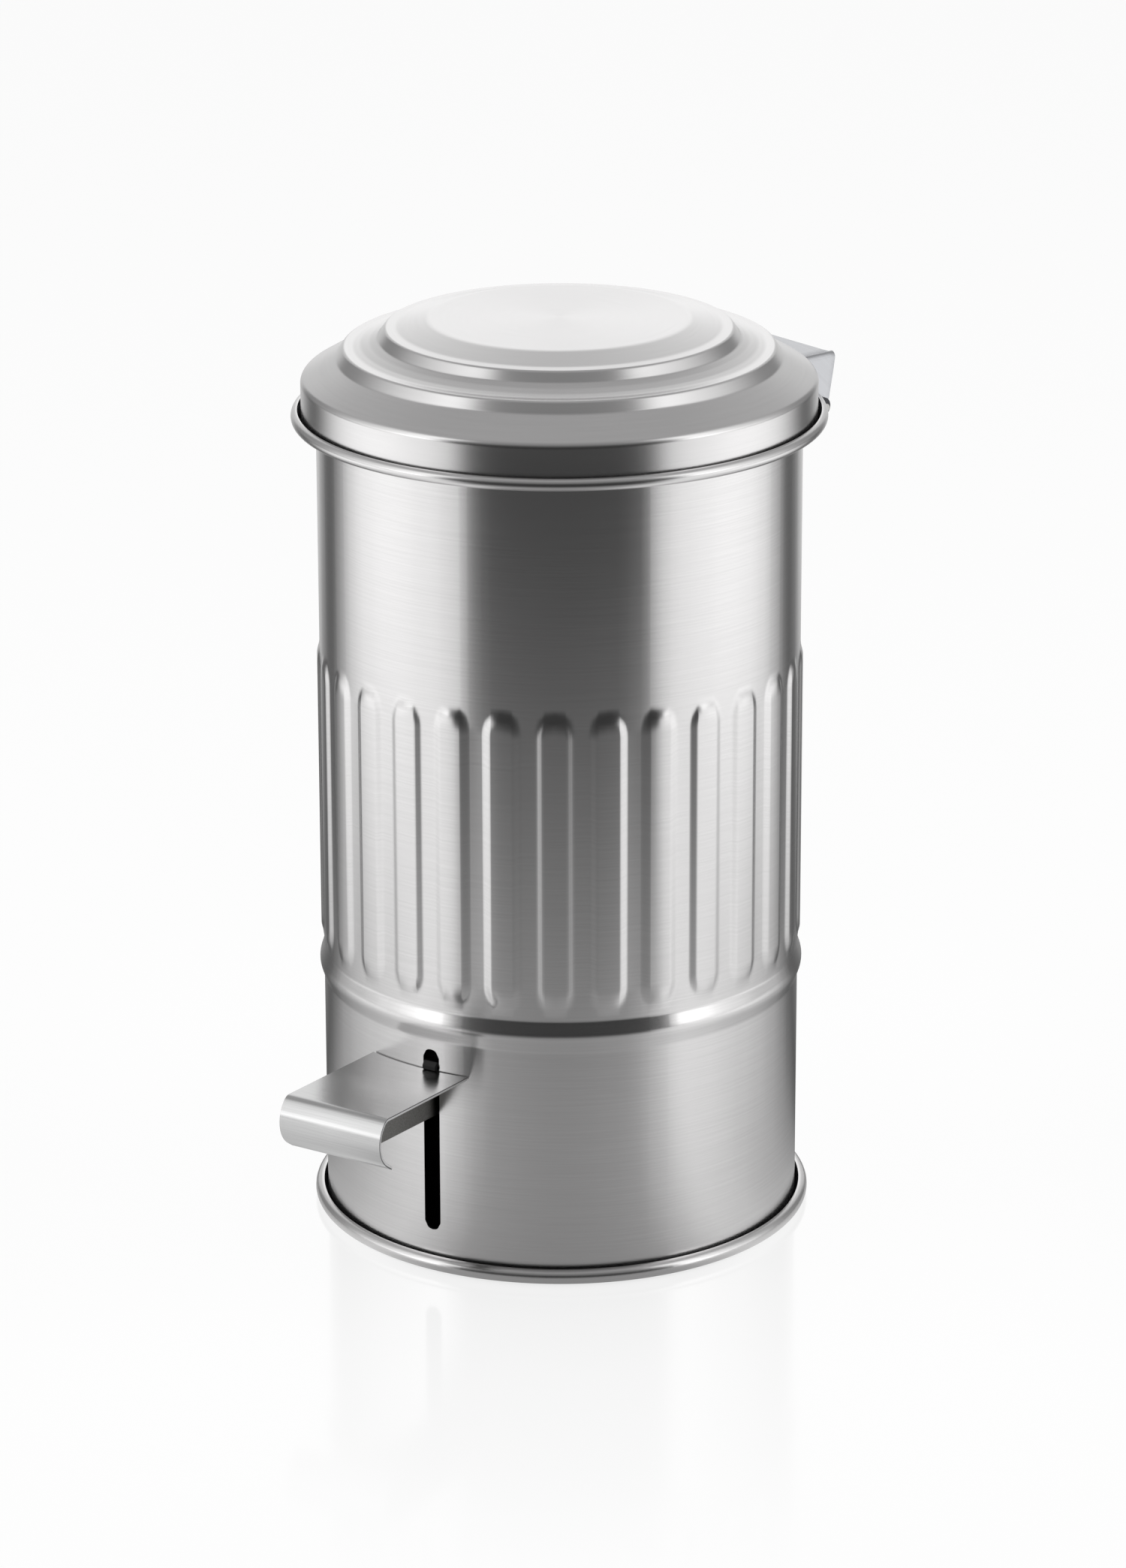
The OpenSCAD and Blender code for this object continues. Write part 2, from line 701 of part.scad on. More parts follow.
// The floor bracket: a foot with two upright ears
module pedal_bracket() {
    color([0.64, 0.64, 0.66])
    translate([0, pivot_y, floor_z])
    difference() {
        union() {
            translate([-foot_half_w, -pedal_bracket_l / 2, 0])
                cube([2 * foot_half_w, pedal_bracket_l, pedal_bracket_sheet]);
            for (x = [-ear_x, ear_x - pedal_bracket_sheet])
                translate([x, 0, 0]) {
                    translate([0, -eye_r, 0]) cube([pedal_bracket_sheet, 2 * eye_r, pivot_z - floor_z]);
                    translate([0, 0, pivot_z - floor_z]) bar(eye_r, 0, pedal_bracket_sheet);
                }
        }
        translate([0, 0, pivot_z - floor_z]) bar(pedal_pin_r + pin_gap, -foot_half_w, foot_half_w);
        for (x = [-foot_rivet_x, foot_rivet_x], y = [-foot_rivet_y, foot_rivet_y])
            translate([x, y, -overrun]) cylinder(r = rivet_r, h = 2 * overrun + pedal_bracket_sheet);
    }
}

module pedal_bracket_rivets() {
    color([0.66, 0.66, 0.66])
    for (x = [-foot_rivet_x, foot_rivet_x], y = [-foot_rivet_y, foot_rivet_y])
        translate([x, pivot_y + y, floor_z + pedal_bracket_sheet])
            rotate([90, 0, 0]) rivet(pedal_bracket_sheet + cup_sheet);
}

module pedal_pin() {
    color([0.6, 0.6, 0.6])
    at_pivot() {
        bar(pedal_pin_r, -ear_x - weld_gap, ear_x + weld_gap + 2 * pedal_clip_h);
        bar(pedal_head_r, -ear_x - weld_gap - pedal_head_h, -ear_x - weld_gap);
    }
}

module pedal_pin_clip() {
    color([0.5, 0.5, 0.5])
    at_pivot()
        difference() {
            bar(pedal_head_r, ear_x + weld_gap, ear_x + weld_gap + pedal_clip_h);
            bar(pedal_pin_r + pin_gap, 0, 2 * ear_x);
        }
}

// The lid's side, set in by an amount
module lid_outline(set_in) {
    polygon(concat(
        [for (c = lid_corners) [max(0, c[0] - lid_inner_share * set_in), c[1] - set_in]],
        [for (a = [bend_start : -15 : 0])
            [skirt_bend_n + (skirt_bend_r - set_in) * cos(a),
             skirt_bend_z + (skirt_bend_r - set_in) * sin(a)]],
        [[skirt_r - set_in, brim_z - weld_gap], [0, brim_z - weld_gap]]
    ));
}

module lid_shell() {
    color([0.78, 0.78, 0.78])
    difference() {
        union() {
            rotate_extrude($fn = 180)
                difference() {
                    lid_outline(0);
                    lid_outline(lid_sheet);
                }
            rotate_extrude($fn = 180)
                rolled_edge(brim_curl_n, brim_z, brim_curl_r, lid_sheet, true);
        }
        at_hinge()
            for (side = [-1, 1])
                on_wall(skirt_r, side * tab_rivet_turn, tab_rivet_z) rivet_hole();
    }
}

// The folded arm: a top sheet, two side flanges, a back flange and a curved tab on the skirt
module lid_arm() {
    color([0.75, 0.75, 0.75])
    at_hinge()
    difference() {
        union() {
            translate([-arm_w / 2, 0, arm_z - arm_sheet]) cube([arm_w, arm_n, arm_sheet]);
            for (x = [-arm_w / 2, arm_w / 2 - arm_sheet])
                translate([x, 0, flange_low_z]) cube([arm_sheet, arm_n, arm_z - flange_low_z]);
            translate([-arm_w / 2, arm_n - arm_sheet, arm_z - arm_back_h])
                cube([arm_w, arm_sheet, arm_back_h]);
            intersection() {
                pipe(tab_r - overrun, tab_r + arm_sheet, tab_low_z, arm_z);
                translate([-arm_tab_w / 2, 0, 0]) cube([arm_tab_w, arm_n, arm_z]);
            }
        }
        // Room for the skirt, and for the brim lower down
        cylinder(r = tab_r, h = 2 * arm_z, $fn = 180);
        cylinder(r = brim_room_r, h = brim_room_top_z, $fn = 180);
        translate([0, pin_n, pin_z]) bar(pin_r + pin_gap, -arm_w, arm_w);
        for (side = [-1, 1])
            on_wall(skirt_r, side * tab_rivet_turn, tab_rivet_z) rivet_hole();
    }
}

module lid_arm_rivets() {
    color([0.7, 0.7, 0.7])
    at_hinge()
        for (side = [-1, 1])
            on_wall(tab_r + arm_sheet + weld_gap, side * tab_rivet_turn, tab_rivet_z)
                rivet(3 * weld_gap + arm_sheet + lid_sheet);
}

// The crank: an eye on the pin, an arm with a long hole for the hook, and a web on the arm's back
module lid_crank() {
    color([0.62, 0.62, 0.64])
    at_pin()
    difference() {
        union() {
            bar(crank_eye_r, -crank_t / 2, crank_t / 2);
            rotate([half_swing, 0, 0]) {
                translate([-crank_t / 2, -long_hole_out, -crank_half])
                    cube([crank_t, long_hole_out, 2 * crank_half]);
                translate([0, -long_hole_out, 0]) bar(crank_half, -crank_t / 2, crank_t / 2);
            }
            translate([-crank_t / 2, 0, -crank_eye_r / 2])
                cube([crank_t, arm_n - arm_sheet - pin_n, arm_z - arm_sheet - pin_z + crank_eye_r / 2]);
        }
        translate([0, -pin_n, brim_room_low_z - pin_z])
            cylinder(r = brim_room_r, h = top_z, $fn = 180);
        bar(pin_r + pin_gap, -crank_t, crank_t);
        rotate([half_swing, 0, 0]) {
            translate([-crank_t, -long_hole_out, -slot_half])
                cube([2 * crank_t, long_hole_out - rod_arm, 2 * slot_half]);
            for (reach = [rod_arm, long_hole_out])
                translate([0, -reach, 0]) bar(slot_half, -crank_t, crank_t);
        }
    }
}

module pedal_tread() {
    color([0.7, 0.7, 0.7])
    difference() {
        side_plate(tread_w / 2 - tread_set, tread_w)
            polygon(concat(
                [[can_in_r, tread_top(can_in_r)]],
                nose_points(0),
                list_back(nose_points(tread_sheet)),
                [[can_in_r, tread_top(can_in_r) - tread_sheet]]
            ));
        cylinder(r = tread_back_n, h = 2 * tread_z, $fn = 180);
    }
}

// The lever plate: under the tread, in through the slot and down to the eye, with a heel on the tail
module pedal_lever() {
    top_gap = tread_sheet + weld_gap;
    front_n = tread_edge_n - tread_sheet;
    color([0.64, 0.64, 0.65])
    difference() {
        union() {
            side_plate(lever_t / 2, lever_t)
                polygon([
                    [front_n, tread_top(front_n) - top_gap],
                    [front_n, tread_top(front_n) - top_gap - lever_h / 2],
                    [front_n - lever_h / 2, tread_top(front_n) - lever_h],
                    [lever_in_n, tread_top(lever_in_n) - lever_h],
                    [-pivot_y, pivot_z - eye_r],
                    [-pivot_y, pivot_z + eye_r],
                    [lever_in_n - eye_r, tread_top(can_r) - top_gap],
                    [can_r, tread_top(can_r) - top_gap]
                ]);
            at_pivot() {
                bar(eye_r, -lever_t / 2, lever_t / 2);
                rotate([-half_press, 0, 0])
                    translate([-lever_t / 2, 0, tail_top]) cube([lever_t, heel_l, heel_h]);
            }
        }
        at_pivot() bar(bush_r + pin_gap, -ear_x, ear_x);
    }
}

// The tail: a flat bar from the heel to the foot of the rod
module pedal_tail() {
    color([0.6, 0.6, 0.62])
    intersection() {
        at_pivot()
            rotate([-half_press, 0, 0])
                translate([0, tail_start, 0])
                    rotate([0, 0, -tail_turn])
                        translate([-tail_w / 2, 0, -tail_top]) cube([tail_w, tail_l + tail_w, tail_t]);
        cylinder(r = tail_room_r, h = 2 * pivot_z);
    }
}

// Two flanged bushes in the lever's eye
module lever_bushes() {
    color([0.9, 0.9, 0.88])
    for (side = [0, 1])
        mirror([side, 0, 0])
            at_pivot()
                difference() {
                    union() {
                        bar(bush_r, pin_gap, pedal_gap_w / 2 - seat_gap);
                        bar(bush_flange_r, lever_t / 2 + weld_gap, pedal_gap_w / 2 - seat_gap);
                    }
                    bar(pedal_pin_r + pin_gap, -ear_x, ear_x);
                }
}

// A rubber cap over the lever where it passes the slot
module lever_buffer() {
    low_z = tread_top(can_r) - tread_sheet - buffer_h;
    color([0.05, 0.05, 0.05])
    difference() {
        side_plate(buffer_half, 2 * buffer_half)
            polygon([
                [buffer_back_n, low_z],
                [buffer_back_n, tread_z + buffer_h / 2],
                [buffer_back_n + buffer_h, tread_z + buffer_h],
                [can_r, tread_z + buffer_h],
                [buffer_front_n, tread_z + buffer_h / 2],
                [buffer_front_n, tread_top(buffer_front_n) + weld_gap],
                [can_r + seat_gap, tread_top(buffer_front_n) + weld_gap],
                [can_r + seat_gap, low_z]
            ]);
        side_plate(lever_t / 2 + weld_gap, lever_t + 2 * weld_gap)
            polygon([
                [0, 0],
                [0, tread_z - tread_sheet],
                [can_r + seat_gap + weld_gap, tread_z - tread_sheet],
                [can_r + seat_gap + weld_gap, 0]
            ]);
    }
}

module push_rod() {
    color([0.66, 0.66, 0.66])
    at_hinge() {
        translate([rod_x, rod_n, rod_low_z]) cylinder(r = rod_r, h = hook_z - rod_low_z);
        translate([rod_x, rod_n, hook_z]) sphere(r = rod_r);
        translate([0, rod_n, hook_z]) bar(rod_r, hook_end_x, rod_x);
    }
}

module rod_foot() {
    color([0.12, 0.12, 0.12])
    at_hinge()
    translate([rod_x, rod_n, rod_foot_mid_z])
    difference() {
        union() {
            sphere(r = rod_foot_r);
            cylinder(r = rod_foot_r, h = rod_foot_h);
        }
        translate([0, 0, rod_low_z - rod_foot_mid_z]) cylinder(r = rod_r + pin_gap, h = rod_foot_h);
    }
}

module rod_clip() {
    color([0.5, 0.5, 0.5])
    at_hinge()
        translate([0, rod_n, hook_z])
            difference() {
                bar(rod_clip_r, rod_clip_x - rod_clip_h, rod_clip_x);
                bar(rod_r + pin_gap, -2 * rod_x, rod_x);
            }
}

// The bail hangs in the bucket, its ends through the bucket's wall
module bail_wire() {
    color([0.7, 0.7, 0.7])
    translate([0, 0, bail_z]) {
        rotate([-90, 0, 0])
            rotate_extrude(angle = 180) translate([bail_r, 0]) circle(r = bail_wire_r);
        for (side = [0, 1])
            mirror([side, 0, 0]) {
                translate([bail_r, 0, 0]) sphere(r = bail_wire_r);
                bar(bail_wire_r, bail_r, bail_end_x);
                bar(bail_end_r, bail_end_x, bail_end_x + bail_wire_r);
            }
    }
}

module bail_grip() {
    color([0.1, 0.1, 0.1])
    translate([0, 0, bail_z])
        rotate([-90, 0, 0])
            rotate([0, 0, 90 - grip_angle / 2])
                rotate_extrude(angle = grip_angle)
                    translate([bail_r, 0])
                        difference() {
                            circle(r = grip_r);
                            circle(r = bail_wire_r + pin_gap);
                        }
}

body_shell();
base_cup();
base_disc();
inner_bucket();
rim_bumpers();
hinge_bracket();
hinge_bracket_rivets();
hinge_pin();
hinge_pin_clip();
rod_guide_upper();
rod_guide_lower();
rod_guide_rivets();
pedal_bracket();
pedal_bracket_rivets();
pedal_pin();
pedal_pin_clip();
lid_shell();
lid_arm();
lid_arm_rivets();
lid_crank();
pedal_tread();
pedal_lever();
pedal_tail();
lever_bushes();
lever_buffer();
push_rod();
rod_foot();
rod_clip();
bail_wire();
bail_grip();
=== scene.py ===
# Slim pedal bin in brushed stainless steel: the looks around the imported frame, in metres.
import json
import math

import bmesh
import bpy
import numpy as np
from mathutils import Matrix


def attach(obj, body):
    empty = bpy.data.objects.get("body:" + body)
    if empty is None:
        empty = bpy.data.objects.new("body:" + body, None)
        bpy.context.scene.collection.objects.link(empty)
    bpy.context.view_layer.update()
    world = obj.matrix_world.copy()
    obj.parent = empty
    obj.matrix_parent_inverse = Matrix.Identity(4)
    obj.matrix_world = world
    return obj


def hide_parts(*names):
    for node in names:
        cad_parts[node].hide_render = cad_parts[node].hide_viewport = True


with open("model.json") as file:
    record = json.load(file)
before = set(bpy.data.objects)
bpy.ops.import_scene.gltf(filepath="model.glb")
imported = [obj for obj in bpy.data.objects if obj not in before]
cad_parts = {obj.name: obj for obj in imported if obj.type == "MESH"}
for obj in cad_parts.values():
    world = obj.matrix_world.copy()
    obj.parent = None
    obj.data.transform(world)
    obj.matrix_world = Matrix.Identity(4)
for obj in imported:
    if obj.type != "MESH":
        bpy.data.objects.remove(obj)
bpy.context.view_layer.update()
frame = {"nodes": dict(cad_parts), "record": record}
nodes = frame["nodes"]
scene = bpy.context.scene
mm = 0.001
print("frame loaded:", len(nodes), "nodes")

# Helpers for meshes


def gridFaces(rows, cols, closedRows=False, closedCols=False, skip=None):
    # four corners of each cell of a grid whose points run row by row
    i, j = np.meshgrid(np.arange(rows if closedRows else rows - 1),
                       np.arange(cols if closedCols else cols - 1), indexing="ij")
    if skip is not None:
        keep = ~skip(i, j)
        i, j = i[keep], j[keep]
    i, j = i.ravel(), j.ravel()
    down, right = (i + 1) % rows, (j + 1) % cols
    return np.stack([i * cols + j, i * cols + right, down * cols + right, down * cols + j], 1)


def shadeSmooth(mesh, sharpAngle=35):
    # smooth shading with sharp edges where faces meet at more than an angle
    mesh.polygons.foreach_set("use_smooth", [True] * len(mesh.polygons))
    mesh.set_sharp_from_angle(angle=math.radians(sharpAngle))


def makePiece(name, points, faces, material, body, replaced):
    # one object at the origin from points in millimetres, its faces turned outwards
    mesh = bpy.data.meshes.new(name)
    mesh.from_pydata((np.asarray(points) * mm).tolist(), [], [list(f) for f in faces])
    shape = bmesh.new()
    shape.from_mesh(mesh)
    bmesh.ops.remove_doubles(shape, verts=shape.verts, dist=1e-7)
    bmesh.ops.recalc_face_normals(shape, faces=shape.faces)
    shape.to_mesh(mesh)
    shape.free()
    shadeSmooth(mesh)
    mesh.materials.append(material)
    piece = bpy.data.objects.new(name, mesh)
    scene.collection.objects.link(piece)
    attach(piece, body)
    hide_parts(*replaced)
    print("piece", name, len(mesh.polygons), "faces")
    return piece


def dressFaces(piece, material, first, last):
    # another material on a run of faces
    piece.data.materials.append(material)
    index = np.zeros(len(piece.data.polygons), np.int32)
    piece.data.polygons.foreach_get("material_index", index)
    index[first:last] = len(piece.data.materials) - 1
    piece.data.polygons.foreach_set("material_index", index)


def roundEdges(piece, width, steps, angle):
    # a bevel, in millimetres, on the edges sharper than an angle
    bevel = piece.modifiers.new("roundedEdges", "BEVEL")
    bevel.width = width * mm
    bevel.segments = steps
    bevel.limit_method = "ANGLE"
    bevel.angle_limit = math.radians(angle)
    return bevel


def roundedPath(corners, radii, step=4.0, support=0.35):
    # a polyline whose inner corners are arcs that touch both sides, with a point close to each arc's ends
    corners = np.asarray(corners, float)
    path = [corners[0]]
    for k in range(1, len(corners) - 1):
        back, ahead = corners[k - 1] - corners[k], corners[k + 1] - corners[k]
        back, ahead = back / np.hypot(*back), ahead / np.hypot(*ahead)
        turn = math.pi - math.acos(np.clip(back @ ahead, -1, 1))
        reach = radii[k - 1] * math.tan(turn / 2)
        middle = (back + ahead) / np.hypot(*(back + ahead))
        centre = corners[k] + middle * math.hypot(radii[k - 1], reach)
        first, last = corners[k] + back * reach, corners[k] + ahead * reach
        start = math.atan2(*(first - centre)[::-1])
        swing = (math.atan2(*(last - centre)[::-1]) - start + math.pi) % (2 * math.pi) - math.pi
        angles = start + swing * np.linspace(0, 1, max(3, int(math.degrees(turn) / step) + 2))
        arc = centre + radii[k - 1] * np.stack([np.cos(angles), np.sin(angles)], 1)
        path += [first + back * support, *arc, last + ahead * support]
    path.append(corners[-1])
    return np.array(path)


def rightOf(path):
    # unit normals on the right-hand side of a path
    along = np.gradient(path, axis=0)
    along /= np.hypot(along[:, 0], along[:, 1])[:, None]
    return np.stack([along[:, 1], -along[:, 0]], 1)


def sheetLoop(path, thickness):
    # closed outline of a sheet that follows a path: its right side, then its left side back
    side = rightOf(path) * thickness / 2
    return np.concatenate([path + side, (path - side)[::-1]])


def turned(loop, columns):
    # a closed outline in (radius, height), carried round the axis from the pedal's side
    angle = np.radians(columns)[None, :]
    radius, height = loop[:, 0][:, None], loop[:, 1][:, None]
    return np.stack([radius * np.sin(angle), -radius * np.cos(angle), height + 0 * angle], -1)


# Helpers for materials

# sizes in millimetres of a straight scratch, of the clouds in brushed steel and of the patches elsewhere
scratchLength, cloudSize, patchSize = 27.78, 55.56, 16.67
# how far a scratch round the can changes over one radian, how much finer the second scratches are, and by how
# much the clouds change the roughness
scratchTurns, finerBy, cloudDepth = 2.4, 2.5, 0.01


def linearColour(code):
    # sRGB hex to linear light
    parts = np.array([int(code[k:k + 2], 16) for k in (1, 3, 5)]) / 255
    light = np.where(parts <= 0.04045, parts / 12.92, ((parts + 0.055) / 1.055) ** 2.4)
    return (*light.tolist(), 1.0)


def addNode(tree, kind, settings=None, values=None, links=None):
    # one node with its settings, the values of its sockets, and the sockets that feed it
    node = tree.nodes.new(kind)
    for key, value in (settings or {}).items():
        setattr(node, key, value)
    for key, value in (values or {}).items():
        node.inputs[key].default_value = value
    for key, source in (links or {}).items():
        tree.links.new(source, node.inputs[key])
    return node


def addMath(tree, kind, operation, inputs):
    # a math node with its numbers, vectors and sockets in the order of its inputs
    fed = {key: source for key, source in enumerate(inputs) if isinstance(source, bpy.types.NodeSocket)}
    values = {key: value for key, value in enumerate(inputs) if key not in fed}
    return addNode(tree, kind, {"operation": operation}, values, fed)


def mathOf(tree, operation, *inputs):
    return addMath(tree, "ShaderNodeMath", operation, inputs).outputs[0]


def vectorOf(tree, operation, *inputs):
    node = addMath(tree, "ShaderNodeVectorMath", operation, inputs)
    return node.outputs["Value" if operation in ("LENGTH", "DOT_PRODUCT") else "Vector"]


def newMaterial(name):
    material = bpy.data.materials.new(name)
    material.use_nodes = True
    material.node_tree.nodes.clear()
    return material, material.node_tree


def scaledPlace(tree, scale):
    # Object coordinates stretched so that one unit is one grain
    place = addNode(tree, "ShaderNodeTexCoord")
    mapping = addNode(tree, "ShaderNodeMapping", {"vector_type": "POINT"}, {"Scale": scale},
                      {"Vector": place.outputs["Object"]})
    return mapping.outputs["Vector"]


def noiseAt(tree, vector, detail):
    return addNode(tree, "ShaderNodeTexNoise", None, {"Scale": 1.0, "Detail": detail, "Roughness": 0.55},
                   {"Vector": vector}).outputs["Fac"]


def spread(tree, value, low, high, fromLow=0.3, fromHigh=0.7):
    # carries a value from one range to another, from the middle of a noise's if none is given
    return addNode(tree, "ShaderNodeMapRange", None,
                   {"From Min": fromLow, "From Max": fromHigh, "To Min": low, "To Max": high},
                   {"Value": value}).outputs["Result"]


def roundPlace(tree, grain):
    # for a belt's scratches: the direction round the axis, and in grains the distance from it plus the height
    place = addNode(tree, "ShaderNodeTexCoord").outputs["Object"]
    flat = vectorOf(tree, "MULTIPLY", place, (1, 1, 0))
    reach, unit = vectorOf(tree, "LENGTH", flat), vectorOf(tree, "NORMALIZE", flat)
    height = addNode(tree, "ShaderNodeSeparateXYZ", None, None, {0: place}).outputs["Z"]
    lines = mathOf(tree, "MULTIPLY", mathOf(tree, "ADD", reach, height), 1 / (grain * mm))
    column = addNode(tree, "ShaderNodeCombineXYZ", None, None, {"Z": lines}).outputs[0]
    return vectorOf(tree, "MULTIPLY_ADD", unit, (scratchTurns, scratchTurns, 0), column)


def straightPlace(tree, grain):
    # the place across the scratches in grains, and a slow change along them
    return scaledPlace(tree, (1 / (scratchLength * mm), 1 / (grain * mm), 1 / (grain * mm)))


def brushedSteel(name, look, grainPlace, tangentAxis=None):
    # Type 430 stainless sheet brushed with a belt: long shallow scratches, and highlights stretch across them
    material, tree = newMaterial(name)
    coarse = noiseAt(tree, grainPlace(tree, look["grain"]), 4)
    fine = noiseAt(tree, grainPlace(tree, look["grain"] / finerBy), 2)
    cloud = noiseAt(tree, scaledPlace(tree, (1 / (cloudSize * mm),) * 3), 2)
    colour = addNode(tree, "ShaderNodeMix", {"data_type": "RGBA"},
                     {"A": linearColour(look["dark"]), "B": linearColour(look["light"])},
                     {"Factor": spread(tree, coarse, 0.0, 1.0)})
    rough = mathOf(tree, "ADD", spread(tree, fine, look["roughLow"], look["roughHigh"]),
                   spread(tree, cloud, -cloudDepth, cloudDepth))
    bump = addNode(tree, "ShaderNodeBump", None, {"Strength": 1.0, "Distance": look["scratchDepth"] * mm},
                   {"Height": mathOf(tree, "ADD", coarse, fine)})
    shader = addNode(tree, "ShaderNodeBsdfPrincipled", None,
                     {"Metallic": 1.0, "Anisotropic": look["anisotropy"],
                      "Anisotropic Rotation": look["turn"]},
                     {"Base Color": colour.outputs["Result"], "Roughness": rough,
                      "Normal": bump.outputs["Normal"]})
    if tangentAxis:
        tangent = addNode(tree, "ShaderNodeTangent", {"direction_type": "RADIAL", "axis": tangentAxis})
        tree.links.new(tangent.outputs["Tangent"], shader.inputs["Tangent"])
    addNode(tree, "ShaderNodeOutputMaterial", None, None, {"Surface": shader.outputs["BSDF"]})
    return material


def plainSurface(name, look):
    # a surface with a fine even grain in its colour, its roughness and its height
    material, tree = newMaterial(name)
    grain = noiseAt(tree, scaledPlace(tree, (1 / (look["grain"] * mm),) * 3), 3)
    patch = noiseAt(tree, scaledPlace(tree, (1 / (patchSize * mm),) * 3), 2)
    colour = addNode(tree, "ShaderNodeMix", {"data_type": "RGBA"},
                     {"A": linearColour(look["dark"]), "B": linearColour(look["light"])},
                     {"Factor": spread(tree, grain, 0.0, 1.0)})
    rough = spread(tree, patch, look["roughLow"], look["roughHigh"])
    bump = addNode(tree, "ShaderNodeBump", None, {"Strength": 1.0, "Distance": look["depth"] * mm},
                   {"Height": grain})
    shader = addNode(tree, "ShaderNodeBsdfPrincipled", None, {"Metallic": look["metallic"]},
                     {"Base Color": colour.outputs["Result"], "Roughness": rough,
                      "Normal": bump.outputs["Normal"]})
    if not look["metallic"]:
        shader.inputs["IOR"].default_value = look["ior"]
    addNode(tree, "ShaderNodeOutputMaterial", None, None, {"Surface": shader.outputs["BSDF"]})
    return material


# Materials, their grains and depths in millimetres

brushedCan = brushedSteel(
    "stainless_brushed_round_the_can",
    {"light": "#dddcdc", "dark": "#d7d6d6", "roughLow": 0.215, "roughHigh": 0.235, "grain": 0.45,
     "scratchDepth": 0.001, "anisotropy": 0.7, "turn": 0.25},
    roundPlace, "Z")
brushedLid = brushedSteel(
    "stainless_brushed_lid",
    {"light": "#dbdada", "dark": "#d8d7d7", "roughLow": 0.24, "roughHigh": 0.26, "grain": 0.45,
     "scratchDepth": 0.0008, "anisotropy": 0.3, "turn": 0.25},
    roundPlace, "Z")
brushedArm = brushedSteel(
    "stainless_brushed_arm",
    {"light": "#c2c3c6", "dark": "#babbbe", "roughLow": 0.3, "roughHigh": 0.36, "grain": 0.5,
     "scratchDepth": 0.0015, "anisotropy": 0.0, "turn": 0.0},
    roundPlace)
brushedTread = brushedSteel(
    "stainless_brushed_across_the_tread",
    {"light": "#cacaca", "dark": "#c2c2c2", "roughLow": 0.2, "roughHigh": 0.23, "grain": 0.4,
     "scratchDepth": 0.001, "anisotropy": 0.4, "turn": 0.25},
    straightPlace, "Y")
# painted shade: the torn band of the cut edge is rougher, and its dark colour stands in for shade along the
# edge
tornEdgeShade = plainSurface(
    "stainless_torn_edge_painted_shade",
    {"light": "#7c7c7e", "dark": "#606062", "roughLow": 0.4, "roughHigh": 0.5, "depth": 0.01,
     "grain": 0.3, "metallic": 1.0})
# painted highlight: the smooth band of the cut edge is less rough, and its colour, brighter than the steel's,
# stands in for a bright reflection along it
edgeHighlight = plainSurface(
    "stainless_edge_painted_highlight",
    {"light": "#f4f4f4", "dark": "#e8e8e8", "roughLow": 0.3, "roughHigh": 0.38, "depth": 0.004,
     "grain": 0.3, "metallic": 1.0})
# painted shade: a dark, rough steel for the hollow insides of the rolls, standing in for the shade that falls
# there
rollHollowShade = plainSurface(
    "stainless_painted_shade_inside_the_rolls",
    {"light": "#47474a", "dark": "#343437", "roughLow": 0.6, "roughHigh": 0.7, "depth": 0.01,
     "grain": 0.4, "metallic": 1.0})
rolledSheet = plainSurface(
    "mild_steel_sheet_as_rolled",
    {"light": "#9b9a98", "dark": "#83827f", "roughLow": 0.38, "roughHigh": 0.5, "depth": 0.01,
     "grain": 0.6, "metallic": 1.0})
drawnSteel = plainSurface(
    "drawn_steel_wire_and_rivets",
    {"light": "#b9b8b6", "dark": "#a5a4a2", "roughLow": 0.24, "roughHigh": 0.34, "depth": 0.004,
     "grain": 0.4, "metallic": 1.0})
springSteel = plainSurface(
    "phosphated_spring_steel",
    {"light": "#56565a", "dark": "#3f3f42", "roughLow": 0.4, "roughHigh": 0.5, "depth": 0.006,
     "grain": 0.3, "metallic": 1.0})
blackPlastic = plainSurface(
    "black_polypropylene_moulded",
    {"light": "#1d1d1e", "dark": "#141415", "roughLow": 0.4, "roughHigh": 0.5, "depth": 0.02,
     "grain": 0.5, "metallic": 0.0, "ior": 1.49})
bucketPlastic = plainSurface(
    "grey_black_polypropylene_bucket",
    {"light": "#29292b", "dark": "#202022", "roughLow": 0.3, "roughHigh": 0.42, "depth": 0.015,
     "grain": 0.8, "metallic": 0.0, "ior": 1.49})
nylon = plainSurface(
    "natural_nylon_bush",
    {"light": "#e4e1d6", "dark": "#d8d5c8", "roughLow": 0.35, "roughHigh": 0.45, "depth": 0.006,
     "grain": 0.4, "metallic": 0.0, "ior": 1.53})
blackRubber = plainSurface(
    "black_rubber_moulded",
    {"light": "#0b0b0b", "dark": "#060606", "roughLow": 0.1, "roughHigh": 0.14, "depth": 0.004,
     "grain": 0.5, "metallic": 0.0, "ior": 1.3})
greyRubber = plainSurface(
    "soft_grey_rubber_pad",
    {"light": "#5a5a5b", "dark": "#4a4a4b", "roughLow": 0.55, "roughHigh": 0.7, "depth": 0.01,
     "grain": 0.4, "metallic": 0.0, "ior": 1.5})
print("materials made")

slotMaterials = {
    "brushed_shell": brushedCan, "brushed_lid": brushedLid, "brushed_pedal": brushedTread,
    "plain_steel": rolledSheet, "rivet_steel": drawnSteel, "spring_steel": springSteel,
    "black_plastic": blackPlastic, "bucket_plastic": bucketPlastic, "bush_plastic": nylon,
    "black_rubber": blackRubber, "grey_rubber": greyRubber,
}
for part in frame["record"]["subparts"]:
    mesh = nodes[part["node"]].data
    mesh.materials.clear()
    mesh.materials.append(slotMaterials[part["material_slot"]])
print("frame nodes dressed")

# Can body: the sheet's middle line runs from the foot curl up the wall, over the bead and into the rim curl

